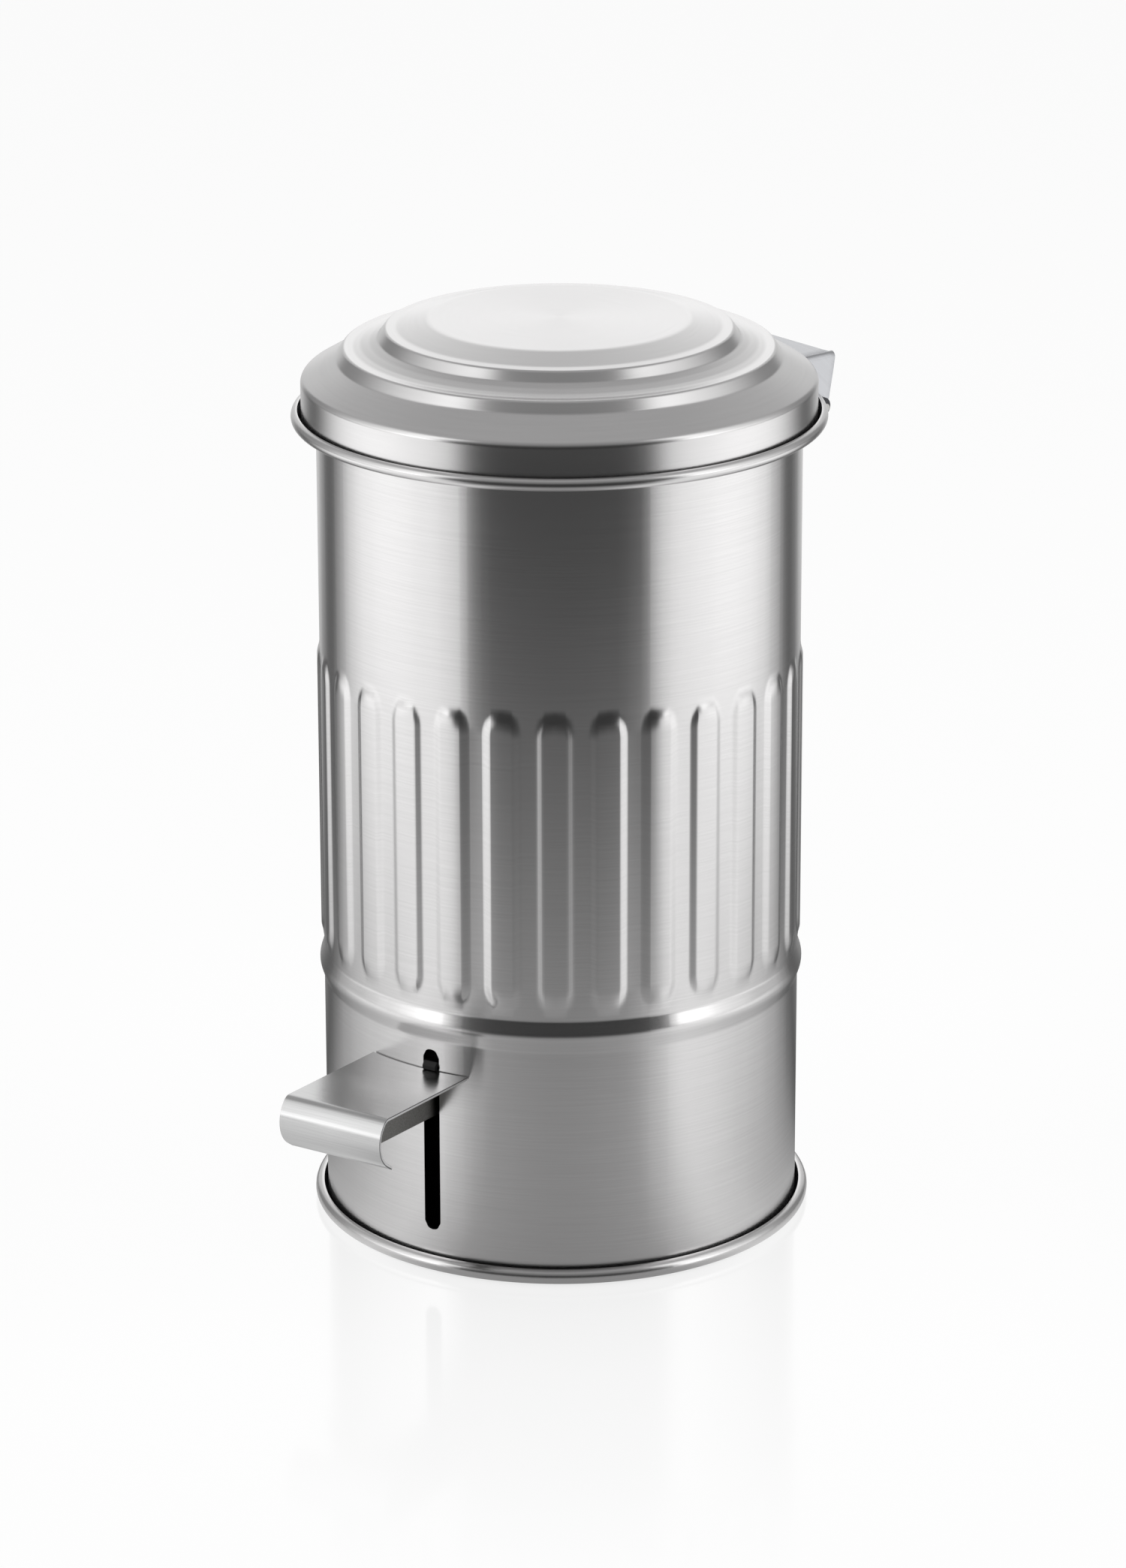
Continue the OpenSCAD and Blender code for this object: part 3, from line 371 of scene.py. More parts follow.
can = {
    "radius": 84.0, "sheet": 0.8,
    "footZ": 2.99, "footRadius": 2.6, "footEnd": 100, "footRows": 20,
    "rimZ": 300.3, "rimRadius": 1.5, "rimEnd": -100, "rimRows": 14,
    "beadZ": 91.2, "beadHeight": 10.8, "beadOut": 1.5, "beadCrest": 5.0, "beadSoft": 0.1, "beadFade": 2.4,
    "places": 29, "ribWidth": 10.4, "ribOut": 0.9, "ribFlank": 3.4, "ribEndStretch": 1.5,
    "ribLow": 101.4, "ribTop": 206.5,
    "seamOut": 0.4, "seamWidth": 6.0, "seamEdge": 0.3, "seamLow": 9, "seamTop": 295,
    "slotWidth": 6.5, "slotLow": 14.5, "slotTop": 82.0,
    "hingeTurn": 18.0, "crankSlotWidth": 4.4, "crankSlotMiddle": 282.0, "crankSlotHalf": 12.75,
    # rows on both faces: low and high end and count on the plain wall, half heights and count over the bead
    "plainRows": [(5, 12.5, 3), (12.5, 84.0, 16), (209.5, 266.5, 3), (266.5, 297.6, 12)],
    "beadRows": (1.36, 31),
    # rows on the outer face alone: over the ribs' low ends, their middles and their tops
    "ribRows": (19, 3, 21), "ribLowRoom": 0.5, "ribRoom": 0.4, "ribMiddleRoom": 6, "ribTopRoom": 2.4,
    # columns over a rib's flank, in halves of the flank from its middle
    "flankShares": (-1.08, -0.74, -0.3, 0.3, 0.74, 1.08),
    # steps from the grid to a slot's edge, the room beside and above the slot in the grid, and how far the
    # points of a row on the wall may lie from the wall's middle and from the row's height
    "slotShares": (0.45, 0.8, 0.95, 1.0), "slotBeside": 0.7, "slotAbove": 1.0,
    "wallReach": 0.5, "rowReach": 0.01,
}


def canWallHeights():
    # heights of the wall's rows, close together where the wall bends, and which of them are on both faces
    low, top = can["ribLow"], can["ribTop"]
    end = can["ribWidth"] / 2 * can["ribEndStretch"] + can["ribFlank"]
    room, middle = can["ribRoom"], can["ribMiddleRoom"]
    beadReach, beadCount = can["beadRows"]
    bead = can["beadZ"] + can["beadHeight"] / 2 * np.linspace(-beadReach, beadReach, beadCount)
    plain = [np.linspace(*stretch) for stretch in can["plainRows"]]
    inside = np.unique(np.concatenate([bead, *plain]))
    lowCount, middleCount, topCount = can["ribRows"]
    ribs = [np.linspace(low - can["ribLowRoom"], low + end + room, lowCount),
            np.linspace(low + end + middle, top - end - middle, middleCount),
            np.linspace(top - end - room, top + can["ribTopRoom"], topCount)]
    heights = np.concatenate([inside, *ribs])
    both = np.arange(len(heights)) < len(inside)
    order = np.argsort(heights)
    return heights[order], both[order]


def beadOut(height):
    # a round crest between two straight flanks that touch it, their ends smoothed by a soft maximum with zero
    half, out, crest, soft = can["beadHeight"] / 2, can["beadOut"], can["beadCrest"], can["beadSoft"]
    foot = crest - out
    lean = math.atan(half / foot) - math.acos(crest / math.hypot(foot, half))
    away = np.abs(height - can["beadZ"])
    arc = np.sqrt(crest * crest - np.minimum(away, crest * math.sin(lean)) ** 2) - foot
    flank = (half - away) * math.tan(lean)
    shape = np.where(away < crest * math.sin(lean), arc, flank)
    return (shape + np.sqrt(shape * shape + soft * soft)) / 2 * (away < half + can["beadFade"])


def ribHeight(angle, height):
    # a pressed rib: a flat top whose height falls off smoothly with the distance from the rib's middle line
    pitch = 360 / can["places"]
    place = np.floor(angle / pitch)
    across = np.radians(angle - (place + 0.5) * pitch) * can["radius"]
    half, stretch = can["ribWidth"] / 2, can["ribEndStretch"]
    inner = np.clip(height, can["ribLow"] + half * stretch, can["ribTop"] - half * stretch)
    along = (height - inner) / stretch
    share = np.clip((half + can["ribFlank"] / 2 - np.hypot(across, along)) / can["ribFlank"], 0, 1)
    rise = can["ribOut"] * share * share * (3 - 2 * share)
    # one place has the can's seam instead of a rib
    atSeam = place == (can["places"] - 1) // 2
    seamShare = np.clip((can["seamWidth"] / 2 - np.abs(across)) / can["seamEdge"] + 0.5, 0, 1)
    seam = can["seamOut"] * seamShare * ((height > can["seamLow"]) & (height < can["seamTop"]))
    return np.where(atSeam, seam, rise)


def canOutline(heights, both):
    # the sheet's closed outline, from the foot's roll up the outer face and down the inner one
    half = can["sheet"] / 2
    wallMiddle = can["radius"] - half
    footCurl = can["footRadius"] - half
    rimCurl = can["rimRadius"] - half
    foot = np.radians(np.linspace(can["footEnd"], -180, can["footRows"]))
    footPath = np.stack([wallMiddle + footCurl * (1 + np.cos(foot)),
                         can["footZ"] + footCurl * np.sin(foot)], 1)
    rim = np.radians(np.linspace(180, can["rimEnd"], can["rimRows"]))
    rimPath = np.stack([wallMiddle + rimCurl * (1 + np.cos(rim)),
                        can["rimZ"] - can["rimRadius"] + rimCurl * np.sin(rim)], 1)
    wallPath = np.stack([wallMiddle + beadOut(heights), heights], 1)
    path = np.concatenate([footPath, wallPath, rimPath])
    inBoth = np.concatenate([np.ones(len(footPath), bool), both, np.ones(len(rimPath), bool)])
    side = rightOf(path) * half
    return path + side, (path - side)[inBoth][::-1]


def canColumns():
    # the columns' angles: one between the ribs, one on each rib's middle and several over its flanks
    pitch = 360 / can["places"]
    edge, flank = can["ribWidth"] / 2, can["ribFlank"] / 2
    offsets = np.array([0, *(edge + flank * np.array(can["flankShares"]))])
    offsets = np.concatenate([-offsets[:0:-1], offsets]) / math.radians(can["radius"])
    return np.concatenate([[k * pitch, *((k + 0.5) * pitch + offsets)] for k in range(can["places"])])


def pillRing(angle, height, centreAngle, halfWidth, low, high, radius):
    # the points round a rectangle of the grid, drawn in step by step to a slot with round ends
    across = np.radians((angle - centreAngle + 180) % 360 - 180) * radius
    start = np.stack([across, height], 1)
    middle = np.stack([0 * across, np.clip(height, low + halfWidth, high - halfWidth)], 1)
    away = start - middle
    goal = middle + away / np.hypot(away[:, 0], away[:, 1])[:, None] * halfWidth
    rings = []
    for share in can["slotShares"]:
        place = start + (goal - start) * share
        turn = np.radians(centreAngle) + place[:, 0] / radius
        rings.append(np.stack([radius * np.sin(turn), -radius * np.cos(turn), place[:, 1]], 1))
    return rings


def gridRing(rows, span):
    # row and column of each point round a rectangle of the grid
    ring = [(rows[0], c) for c in span] + [(r, span[-1]) for r in rows[1:]]
    return np.array(ring + [(rows[-1], c) for c in span[-2::-1]] + [(r, span[0]) for r in rows[-2:0:-1]])


def buildCan():
    heights, both = canWallHeights()
    outer, inner = canOutline(heights, both)
    loop, columns = np.concatenate([outer, inner]), canColumns()
    rows, cols = len(loop), len(columns)
    outerRows = can["footRows"] + np.arange(len(heights))
    innerRows = np.arange(len(outer), rows)
    onOuter = np.isin(np.arange(rows), outerRows)
    rise = ribHeight(columns[None, :], loop[:, 1][:, None]) * onOuter[:, None]
    outward = np.stack([np.sin(np.radians(columns)), -np.cos(np.radians(columns)), 0 * columns], -1)
    points = (turned(loop, columns) + rise[:, :, None] * outward[None]).reshape(-1, 3)

    middle, reach = can["crankSlotMiddle"], can["crankSlotHalf"]
    slots = [
        (0.0, can["slotWidth"] / 2, can["slotLow"], can["slotTop"]),
        (180 - can["hingeTurn"], can["crankSlotWidth"] / 2, middle - reach, middle + reach),
    ]
    taken = np.zeros((rows, cols), bool)
    faces, extra, count = [], [], len(points)
    for centreAngle, halfWidth, low, high in slots:
        signed = ((columns - centreAngle + 180) % 360 - 180) * math.radians(can["radius"])
        left = np.where(signed < -halfWidth - can["slotBeside"], signed, -np.inf).argmax()
        right = np.where(signed > halfWidth + can["slotBeside"], signed, np.inf).argmin()
        span = (left + np.arange((right - left) % cols + 1)) % cols
        # the heights of the rows next under and over the slot
        lowZ = heights[heights < low - can["slotAbove"]].max() - can["rowReach"]
        highZ = heights[heights > high + can["slotAbove"]].min() + can["rowReach"]
        loops = []
        for wallRows, radius in ((outerRows, can["radius"]), (innerRows, can["radius"] - can["sheet"])):
            z = loop[wallRows, 1]
            onWall = np.abs(loop[wallRows, 0] - can["radius"] + can["sheet"] / 2) < can["wallReach"]
            chosen = wallRows[(z > lowZ) & (z < highZ) & onWall]
            chosen = chosen[np.argsort(loop[chosen, 1])]
            taken[chosen.min():chosen.max(), span[:-1]] = True
            ring = gridRing(chosen, span)
            angle, height = columns[ring[:, 1]], loop[ring[:, 0], 1]
            steps = [ring[:, 0] * cols + ring[:, 1]]
            for place in pillRing(angle, height, centreAngle, halfWidth, low, high, radius):
                extra.append(place)
                steps.append(count + np.arange(len(place)))
                count += len(place)
            loops.append(steps)
        pairs = [(a, b) for steps in loops for a, b in zip(steps[:-1], steps[1:])]
        # the slot's edge joins the two faces
        pairs.append((loops[0][-1], loops[1][-1]))
        for a, b in pairs:
            faces.append(np.stack([a, np.roll(a, -1), np.roll(b, -1), b], 1))
    wall = gridFaces(rows, cols, True, True, lambda i, j: taken[i, j])
    piece = makePiece("canBody", np.concatenate([points, *extra]), np.concatenate([wall, *faces]),
                      brushedCan, "can", ["body_shell"])
    # the hollow side of the foot's roll, painted dark as shade
    dressFaces(piece, rollHollowShade, 0, (can["footRows"] - 1) * cols)


buildCan()

# Lid: a stepped dome with rounded shoulders, its skirt rolled outwards at the brim

lid = {
    "sheet": 0.8, "columns": 240,
    # radius and height of the outer face at each corner, and the radius of its bend
    "corners": [(0.6, 323.5), (44.9, 323.5), (56.2, 320.72), (59.9, 320.42), (62.5, 316.8), (65.0, 315.75),
                (68.3, 314.7), (71.0, 314.1), (74.4, 313.92), (77.0, 310.0), (89.1, 302.9), (89.1, 289.8)],
    "bends": [9.0, 8.0, 1.5, 1.7, 8.0, 8.0, 8.0, 1.5, 2.2, 2.6],
    "brimRadius": 2.15, "brimEnd": 92, "brimRows": 35,
}


def buildLid():
    outer = roundedPath(lid["corners"], lid["bends"])
    path = outer + rightOf(outer) * lid["sheet"] / 2
    path[-1] = lid["corners"][-1][0] - lid["sheet"] / 2, lid["corners"][-1][1]
    curl = lid["brimRadius"] - lid["sheet"] / 2
    angle = np.radians(np.linspace(-180, lid["brimEnd"], lid["brimRows"] + 1))[1:]
    brim = path[-1] + curl * np.stack([1 + np.cos(angle), np.sin(angle)], 1)
    loop = sheetLoop(np.concatenate([path, brim]), lid["sheet"])
    columns = np.arange(lid["columns"]) * 360 / lid["columns"]
    points = turned(loop, columns).reshape(-1, 3)
    rows, cols = len(loop), len(columns)
    # the two small holes at the axis are closed with a fan each
    faces = gridFaces(rows, cols, True, True, lambda i, j: i == rows - 1).tolist()
    topMiddle = [0, 0, loop[0, 1]]
    lowMiddle = [0, 0, loop[-1, 1]]
    points = np.concatenate([points, [topMiddle, lowMiddle]])
    around = np.arange(cols)
    after = (around + 1) % cols
    faces += np.stack([around, after, 0 * around + rows * cols], 1).tolist()
    faces += np.stack([(rows - 1) * cols + after, (rows - 1) * cols + around,
                       0 * around + rows * cols + 1], 1).tolist()
    piece = makePiece("lidDome", points, faces, brushedLid, "lid", ["lid_shell"])
    # the hollow side of the brim's roll, painted dark as shade
    dressFaces(piece, rollHollowShade, rows // 2 * cols, (rows // 2 + lid["brimRows"] - 1) * cols)


buildLid()

# Tread: a strip folded over its nose, with a lip that turns back under it

tread = {
    "left": -26.5, "right": 14.5, "sheet": 1.1,
    "wall": 84.6, "topAtWall": 74.4, "rise": 1.8, "canRadius": 84.0,
    # the nose's front, its upper bend over half a right angle, its bowed face and the straight lip under it
    "noseOut": 137.7, "noseBend": 4.0, "noseRadius": 10.7, "noseTurn": 55, "lip": 3.2,
    # the part of the sheet's thickness that the shear tore, coloured with painted shade, and how far the
    # smooth part below, coloured with a painted highlight, ends drawn in
    "cutShare": 0.32, "cutDepth": 0.08,
    # the rounding of the edges, and the width of the outermost column beside them
    "edge": 0.14, "edgeAngle": 50, "edgeColumn": 0.5,
    # rows along the top and the lip, in shares of their lengths, and the counts of rows and columns elsewhere
    "topShares": (0, 0.01, 0.3, 0.6, 0.9, 0.99), "lipShares": (0.1, 0.95, 1.0),
    "bendStart": 88, "bendRows": 10, "faceRows": 26, "columns": 24,
}


def treadFront():
    # the middle line in (reach, height): an arc from the top, a wider one that goes on from it, and the lip
    half, bend, bow = tread["sheet"] / 2, tread["noseBend"], tread["noseRadius"]
    step = (bow - bend) * math.cos(math.radians(45))
    faceOut, bendOut = tread["noseOut"] - bow, tread["noseOut"] - bow + step
    bendZ = tread["topAtWall"] + tread["rise"] - bend
    angle = np.radians(np.linspace(tread["bendStart"], 45, tread["bendRows"]))
    front = np.stack([bendOut + (bend - half) * np.cos(angle), bendZ + (bend - half) * np.sin(angle)], 1)
    angle = np.radians(np.linspace(45, -tread["noseTurn"], tread["faceRows"]))[1:]
    face = np.stack([faceOut + (bow - half) * np.cos(angle), bendZ - step + (bow - half) * np.sin(angle)], 1)
    under = math.radians(tread["noseTurn"])
    along = np.array(tread["lipShares"])[:, None] * tread["lip"]
    lip = face[-1] - along * np.array([math.sin(under), math.cos(under)])
    return bendOut, np.concatenate([front, face, lip])


def buildTread():
    half = tread["sheet"] / 2
    bendOut, front = treadFront()
    left, right, beside = tread["left"], tread["right"], tread["edgeColumn"]
    across = np.array([left, *np.linspace(left + beside, right - beside, tread["columns"]), right])
    # the top runs from an arc along the wall to the bend
    wallOut = np.sqrt(tread["wall"] ** 2 - across ** 2)
    slope = tread["rise"] / (bendOut - tread["canRadius"])
    topOut = wallOut[None, :] + np.array(tread["topShares"])[:, None] * (bendOut - wallOut[None, :])
    topHeight = tread["topAtWall"] + slope * (topOut - tread["canRadius"]) - half
    sheetOut = np.concatenate([topOut, np.repeat(front[:, :1], len(across), 1)])
    sheetZ = np.concatenate([topHeight, np.repeat(front[:, 1:], len(across), 1)])
    sheetX = np.repeat(across[None, :], len(sheetOut), 0)
    paths = [np.stack([out, height], 1) for out, height in zip(sheetOut.T, sheetZ.T)]
    toSide = half * np.stack([rightOf(line) for line in paths], 1)
    upper = np.stack([sheetX, -sheetOut + toSide[:, :, 0], sheetZ - toSide[:, :, 1]], -1)
    lower = np.stack([sheetX, -sheetOut - toSide[:, :, 0], sheetZ + toSide[:, :, 1]], -1)
    cut = upper[:, [0, -1]] + tread["cutShare"] * (lower - upper)[:, [0, -1]]
    lower[:, 0, 0] += tread["cutDepth"]
    lower[:, -1, 0] -= tread["cutDepth"]
    points = np.concatenate([upper, lower[::-1]])
    rows, cols = points.shape[:2]
    count = len(sheetOut)
    row = np.arange(count - 1)
    torn, smooth, ends = [], [], []
    for side, column in enumerate((0, cols - 1)):
        upperRow, lowerRow = row * cols + column, (rows - 1 - row) * cols + column
        cutRow = rows * cols + row * 2 + side
        torn.append(np.stack([upperRow, upperRow + cols, cutRow + 2, cutRow], 1))
        smooth.append(np.stack([cutRow, cutRow + 2, lowerRow - cols, lowerRow], 1))
        # the cut edge's ends at the wall and at the lip
        ends.append([column, rows * cols + side, (rows - 1) * cols + column])
        ends.append([(count - 1) * cols + column, rows * cols + (count - 1) * 2 + side,
                     (rows - count) * cols + column])
    sheet = gridFaces(rows, cols, True, False)
    tornShadeStart, smoothHighlightStart = len(sheet), len(sheet) + 2 * len(row)
    faces = np.concatenate([sheet, *torn, *smooth]).tolist() + ends
    piece = makePiece("treadSheet", np.concatenate([points.reshape(-1, 3), cut.reshape(-1, 3)]), faces,
                      brushedTread, "pedal", ["pedal_tread"])
    # the torn band gets a colour of painted shade, the smooth band below it a colour of painted highlight
    dressFaces(piece, tornEdgeShade, tornShadeStart, smoothHighlightStart)
    dressFaces(piece, edgeHighlight, smoothHighlightStart, smoothHighlightStart + 2 * len(row))
    roundEdges(piece, tread["edge"], 2, tread["edgeAngle"])


buildTread()

# Arm: a folded sheet behind the lid with two side flanges, a back flange and a curved tab on the skirt

arm = {
    "turn": 18.0, "width": 63.0, "sheet": 1.2, "out": 99.5, "lowOut": 95.6, "top": 300.7, "low": 278.0,
    "bend": 1.9, "backHeight": 12.0, "skirt": 89.2, "brimRoom": 92.9, "brimRoomTop": 292.25,
    "tabWidth": 30.0, "tabHeight": 7.0, "tabRoom": 0.05, "taper": 20, "edge": 0.15, "edgeAngle": 50,
    # a row close under each bend, the heights of rows on the side flanges, whose outer edge slants over the
    # taper, and the rows of the top in shares of its way out
    "support": 0.3, "flangeRows": (295, 292.27, 292.25, 288, 284, 281), "topShares": (0, 0.05, 0.5, 0.95),
    "columns": 15, "bendRows": 8, "flangeColumns": 6, "tabColumns": 13,
}


def armTop():
    # top sheet and back flange: a path outwards, over a bend and down, carried across the width
    half, bend, count = arm["sheet"] / 2, arm["bend"], arm["columns"]
    across = np.linspace(bend - arm["width"] / 2, arm["width"] / 2 - bend, count)
    start = np.sqrt(arm["skirt"] ** 2 - across ** 2)
    angle = np.radians(np.linspace(90, 0, arm["bendRows"]))
    share = np.array(arm["topShares"])[:, None]
    bendOut = arm["out"] - bend + (bend - half) * np.cos(angle)
    backZ = [arm["top"] - bend - arm["support"], arm["top"] - arm["backHeight"]]
    frontZ = np.full(len(share), arm["top"] - half)
    pathZ = np.concatenate([frontZ, arm["top"] - bend + (bend - half) * np.sin(angle), backZ])
    out = np.concatenate([start + share * (arm["out"] - bend - start), np.repeat(bendOut[:, None], count, 1),
                          np.full((len(backZ), count), arm["out"] - half)])
    return np.stack([np.repeat(across[None, :], len(out), 0), out, np.repeat(pathZ[:, None], count, 1)], -1)


def armFlange(side):
    # over a bend and down, from the skirt or the brim's room out to a slanted edge
    half, width, bend, count = arm["sheet"] / 2, arm["width"] / 2, arm["bend"], arm["flangeColumns"]
    angle = np.radians(np.linspace(90, 0, arm["bendRows"]))
    straightZ = np.array([arm["top"] - bend - arm["support"], *arm["flangeRows"], arm["low"]])
    straightX = np.full(len(straightZ), width - half)
    flangeX = np.concatenate([width - bend + (bend - half) * np.cos(angle), straightX])
    flangeZ = np.concatenate([arm["top"] - bend + (bend - half) * np.sin(angle), straightZ])
    room = np.where(flangeZ > arm["brimRoomTop"], arm["skirt"], arm["brimRoom"])
    near = np.sqrt(room ** 2 - flangeX ** 2)
    share = np.clip((flangeZ - arm["low"]) / arm["taper"], 0, 1)
    far = arm["lowOut"] + (arm["out"] - arm["lowOut"]) * share
    outward = near[:, None] + np.linspace(0, 1, count)[None, :] * (far - near)[:, None]
    return np.stack([np.repeat(side * flangeX[:, None], count, 1), outward,
                     np.repeat(flangeZ[:, None], count, 1)], -1)


def armTab():
    # curved tab riveted to the skirt, just under the top sheet
    top = arm["top"] - arm["sheet"]
    turn = np.linspace(-1, 1, arm["tabColumns"]) * math.asin(arm["tabWidth"] / 2 / arm["skirt"])
    height = np.array([top - arm["tabHeight"], top - arm["tabRoom"]])[:, None]
    out = arm["skirt"] + arm["sheet"] / 2
    return np.stack([out * np.sin(turn) + 0 * height, out * np.cos(turn) + 0 * height, height + 0 * turn], -1)


def buildArm():
    turn = math.radians(arm["turn"])
    points, faces, count = [], [], 0
    for sheet in (armTop(), armFlange(-1), armFlange(1), armTab()):
        faces += (gridFaces(*sheet.shape[:2]) + count).tolist()
        flat = sheet.reshape(-1, 3)
        points.append(np.stack([flat[:, 0] * math.cos(turn) + flat[:, 1] * math.sin(turn),
                                -flat[:, 0] * math.sin(turn) + flat[:, 1] * math.cos(turn), flat[:, 2]], 1))
        count += len(flat)
    piece = makePiece("lidArmSheet", np.concatenate(points), faces, brushedArm, "lid", ["lid_arm"])
    wall = piece.modifiers.new("sheetThickness", "SOLIDIFY")
    wall.thickness = arm["sheet"] * mm
    wall.offset = 0
    wall.use_even_offset = True
    roundEdges(piece, arm["edge"], 2, arm["edgeAngle"])


buildArm()

# Small parts: the frame's own shapes with their sharp edges rounded

roundings = {
    # width of the rounding in millimetres, and its steps
    "lever_buffer": (0.9, 4), "pedal_lever": (0.25, 2), "pedal_tail": (0.3, 2), "base_disc": (0.5, 3),
    "rim_bumpers": (0.5, 3), "hinge_bracket": (0.25, 2), "hinge_pin": (0.3, 2), "pedal_bracket": (0.3, 2),
    "pedal_pin": (0.4, 2), "lid_crank": (0.25, 2), "rod_foot": (0.4, 2), "bail_grip": (0.9, 3),
}


def roundedCopy(node, width, steps):
    # a merged copy of a frame node, its flat faces joined, with a bevel on its sharp edges
    mesh = nodes[node].data.copy()
    shape = bmesh.new()
    shape.from_mesh(mesh)
    bmesh.ops.transform(shape, matrix=nodes[node].matrix_world, verts=shape.verts)
    bmesh.ops.remove_doubles(shape, verts=shape.verts, dist=2e-6)
    bmesh.ops.dissolve_limit(shape, angle_limit=math.radians(1), verts=shape.verts, edges=shape.edges)
    shape.to_mesh(mesh)
    shape.free()
    shadeSmooth(mesh)
    piece = bpy.data.objects.new(node + "_rounded", mesh)
    scene.collection.objects.link(piece)
    bodies = frame["record"]["behaviour"]["bodies"]
    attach(piece, next(body for body, members in bodies.items() if node in members))
    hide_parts(node)
    roundEdges(piece, width, steps, 40).harden_normals = True


for node, (width, steps) in roundings.items():
    roundedCopy(node, width, steps)
print("small parts rounded:", len(roundings))

# Camera: where the photograph was taken from

view = {
    "azimuth": 32.3, "distance": 1.9329, "height": 0.8233, "pitch": 19.097, "roll": -0.149,
    "focal": 7734.9, "frameHeight": 2089, "sensor": 36.0, "axisOffset": 3.44, "clipEnd": 50,
}


def buildCamera():
    turn = math.radians(view["azimuth"])
    lens = bpy.data.cameras.new("camera")
    lens.sensor_width = view["sensor"]
    lens.lens = view["focal"] / view["frameHeight"] * view["sensor"]
    lens.shift_x = view["axisOffset"] / view["frameHeight"]
    lens.clip_end = view["clipEnd"]
    camera = bpy.data.objects.new("camera", lens)
    place = (math.sin(turn) * view["distance"], -math.cos(turn) * view["distance"], view["height"])
    facing = (Matrix.Rotation(turn, 4, "Z") @ Matrix.Rotation(math.radians(90 - view["pitch"]), 4, "X")
              @ Matrix.Rotation(math.radians(view["roll"]), 4, "Z"))
    camera.matrix_world = Matrix.Translation(place) @ facing
    scene.collection.objects.link(camera)
    scene.camera = camera


# Studio: a white room and table. Dark and bright flags, which only reflections see, draw the steel's shape

studio = {
    "lampTurn": 82, "lampAway": 1.25, "lampWide": 1.5, "lampHigh": 1.3, "lampLow": 0.03, "lampLight": 1.6,
    "ambient": 0.65, "floorGlow": 0.88, "floorColour": "#fafafa", "mirrorRough": 0.1,
    # share of mirror in the table at distances from the can's axis, in shares of mirrorReach
    "mirrorReach": 0.4,
    "mirror": [(0.0, 0.11), (0.22, 0.11), (0.28, 0.085), (0.4, 0.06), (0.57, 0.04), (0.8, 0.0)],
    # what the steel sees of the table, far and near, by (1 + cosine of the angle to the camera's side) / 2
    "farTable": [(0.0, 0.85), (0.05, 0.56), (0.1, 0.19), (0.13, 0.13), (0.172, 0.13), (0.215, 0.37),
                 (0.275, 0.78), (0.335, 1.1), (0.41, 1.29), (0.5, 1.38), (0.56, 1.38), (0.62, 1.35),
                 (0.68, 1.24), (0.72, 1.19), (0.78, 1.11), (0.842, 0.97), (0.888, 0.11), (0.92, 0.07),
                 (0.95, 0.055), (1.0, 0.055)],
    "nearTable": [(0.0, 0.3), (0.15, 0.12), (0.22, 0.2), (0.3, 0.36), (0.38, 0.48), (0.46, 0.6),
                  (0.54, 0.68), (0.62, 0.77), (0.7, 0.9), (0.76, 0.96), (0.81, 1.0), (0.85, 0.91),
                  (0.885, 0.76), (0.91, 0.66), (0.94, 0.5), (1.0, 0.41)],
    "nearFrom": 0.05, "nearTo": 1.0,
    # the table's brightness beside the foot, and the distances from the axis between which it rises
    "footShade": 0.8, "footFrom": 0.11, "footTo": 0.25,
    # what the steel sees of the room, by the half turn from the horizon behind over the ceiling to the front
    "room": [(0.0, 0.2), (0.17, 0.22), (0.27, 0.4), (0.45, 0.46), (0.66, 0.3), (0.74, 0.24),
             (0.84, 0.07), (1.0, 0.02)],
    # the bright wall behind, by the same half turn, and by the share of the direction that is sideways
    "wallOver": [(0.0, 0.95), (0.13, 0.95), (0.18, 0.85), (0.245, 0.36), (0.28, 0.17), (0.34, 0.0),
                 (1.0, 0.0)],
    "wallAside": [(0.0, 1.0), (0.12, 1.0), (0.2, 0.65), (0.28, 0.5), (0.42, 0.5), (0.55, 0.0),
                  (1.0, 0.0)],
    # softboxes at both sides as reflections see them, by the flat angle's share and the sine of the height
    "boxAround": [(0.0, 0.0), (0.18, 0.06), (0.28, 0.13), (0.34, 0.24), (0.4, 0.36), (0.46, 0.48),
                  (0.52, 0.57), (0.56, 0.65), (0.62, 0.78), (0.7, 1.0), (0.77, 1.0), (0.83, 0.0),
                  (1.0, 0.0)],
    "boxUp": [(0.0, 0.45), (0.06, 0.6), (0.14, 1.4), (0.26, 1.4), (0.36, 0.9), (0.52, 1.0), (0.7, 1.0),
              (0.8, 0.8), (0.88, 0.0), (1.0, 0.0)],
    "boxLight": 1.5,
    # half the table's width, its depth under the foot and the globe's radius in metres, and the globe's counts
    "tableSize": 30, "tableLow": 0.0002, "tentSize": 4.0, "tentTurns": 49, "tentRows": 13,
}


def curveOf(tree, value, stops):
    # a curve of linear brightness given as (place, brightness): a ramp up to 1 times the brightest stop
    brightest = max(light for place, light in stops)
    ramp = addNode(tree, "ShaderNodeValToRGB", None, None, {"Fac": value})
    while len(ramp.color_ramp.elements) < len(stops):
        ramp.color_ramp.elements.new(0.5)
    for element, (place, light) in zip(ramp.color_ramp.elements, stops):
        element.position = place
        element.color = (*[light / brightest] * 3, 1)
    return mathOf(tree, "MULTIPLY", ramp.outputs["Color"], brightest)


def mixOf(tree, share, low, high):
    # low where share is 0, high where it is 1
    return addNode(tree, "ShaderNodeMix", {"data_type": "FLOAT"}, None,
                   {"Factor": share, "A": low, "B": high}).outputs["Result"]


def stageMesh(name, material, points, faces):
    mesh = bpy.data.meshes.new(name)
    mesh.from_pydata(np.asarray(points, float).tolist(), [], np.asarray(faces).tolist())
    mesh.materials.append(material)
    piece = bpy.data.objects.new(name, mesh)
    scene.collection.objects.link(piece)
    return piece


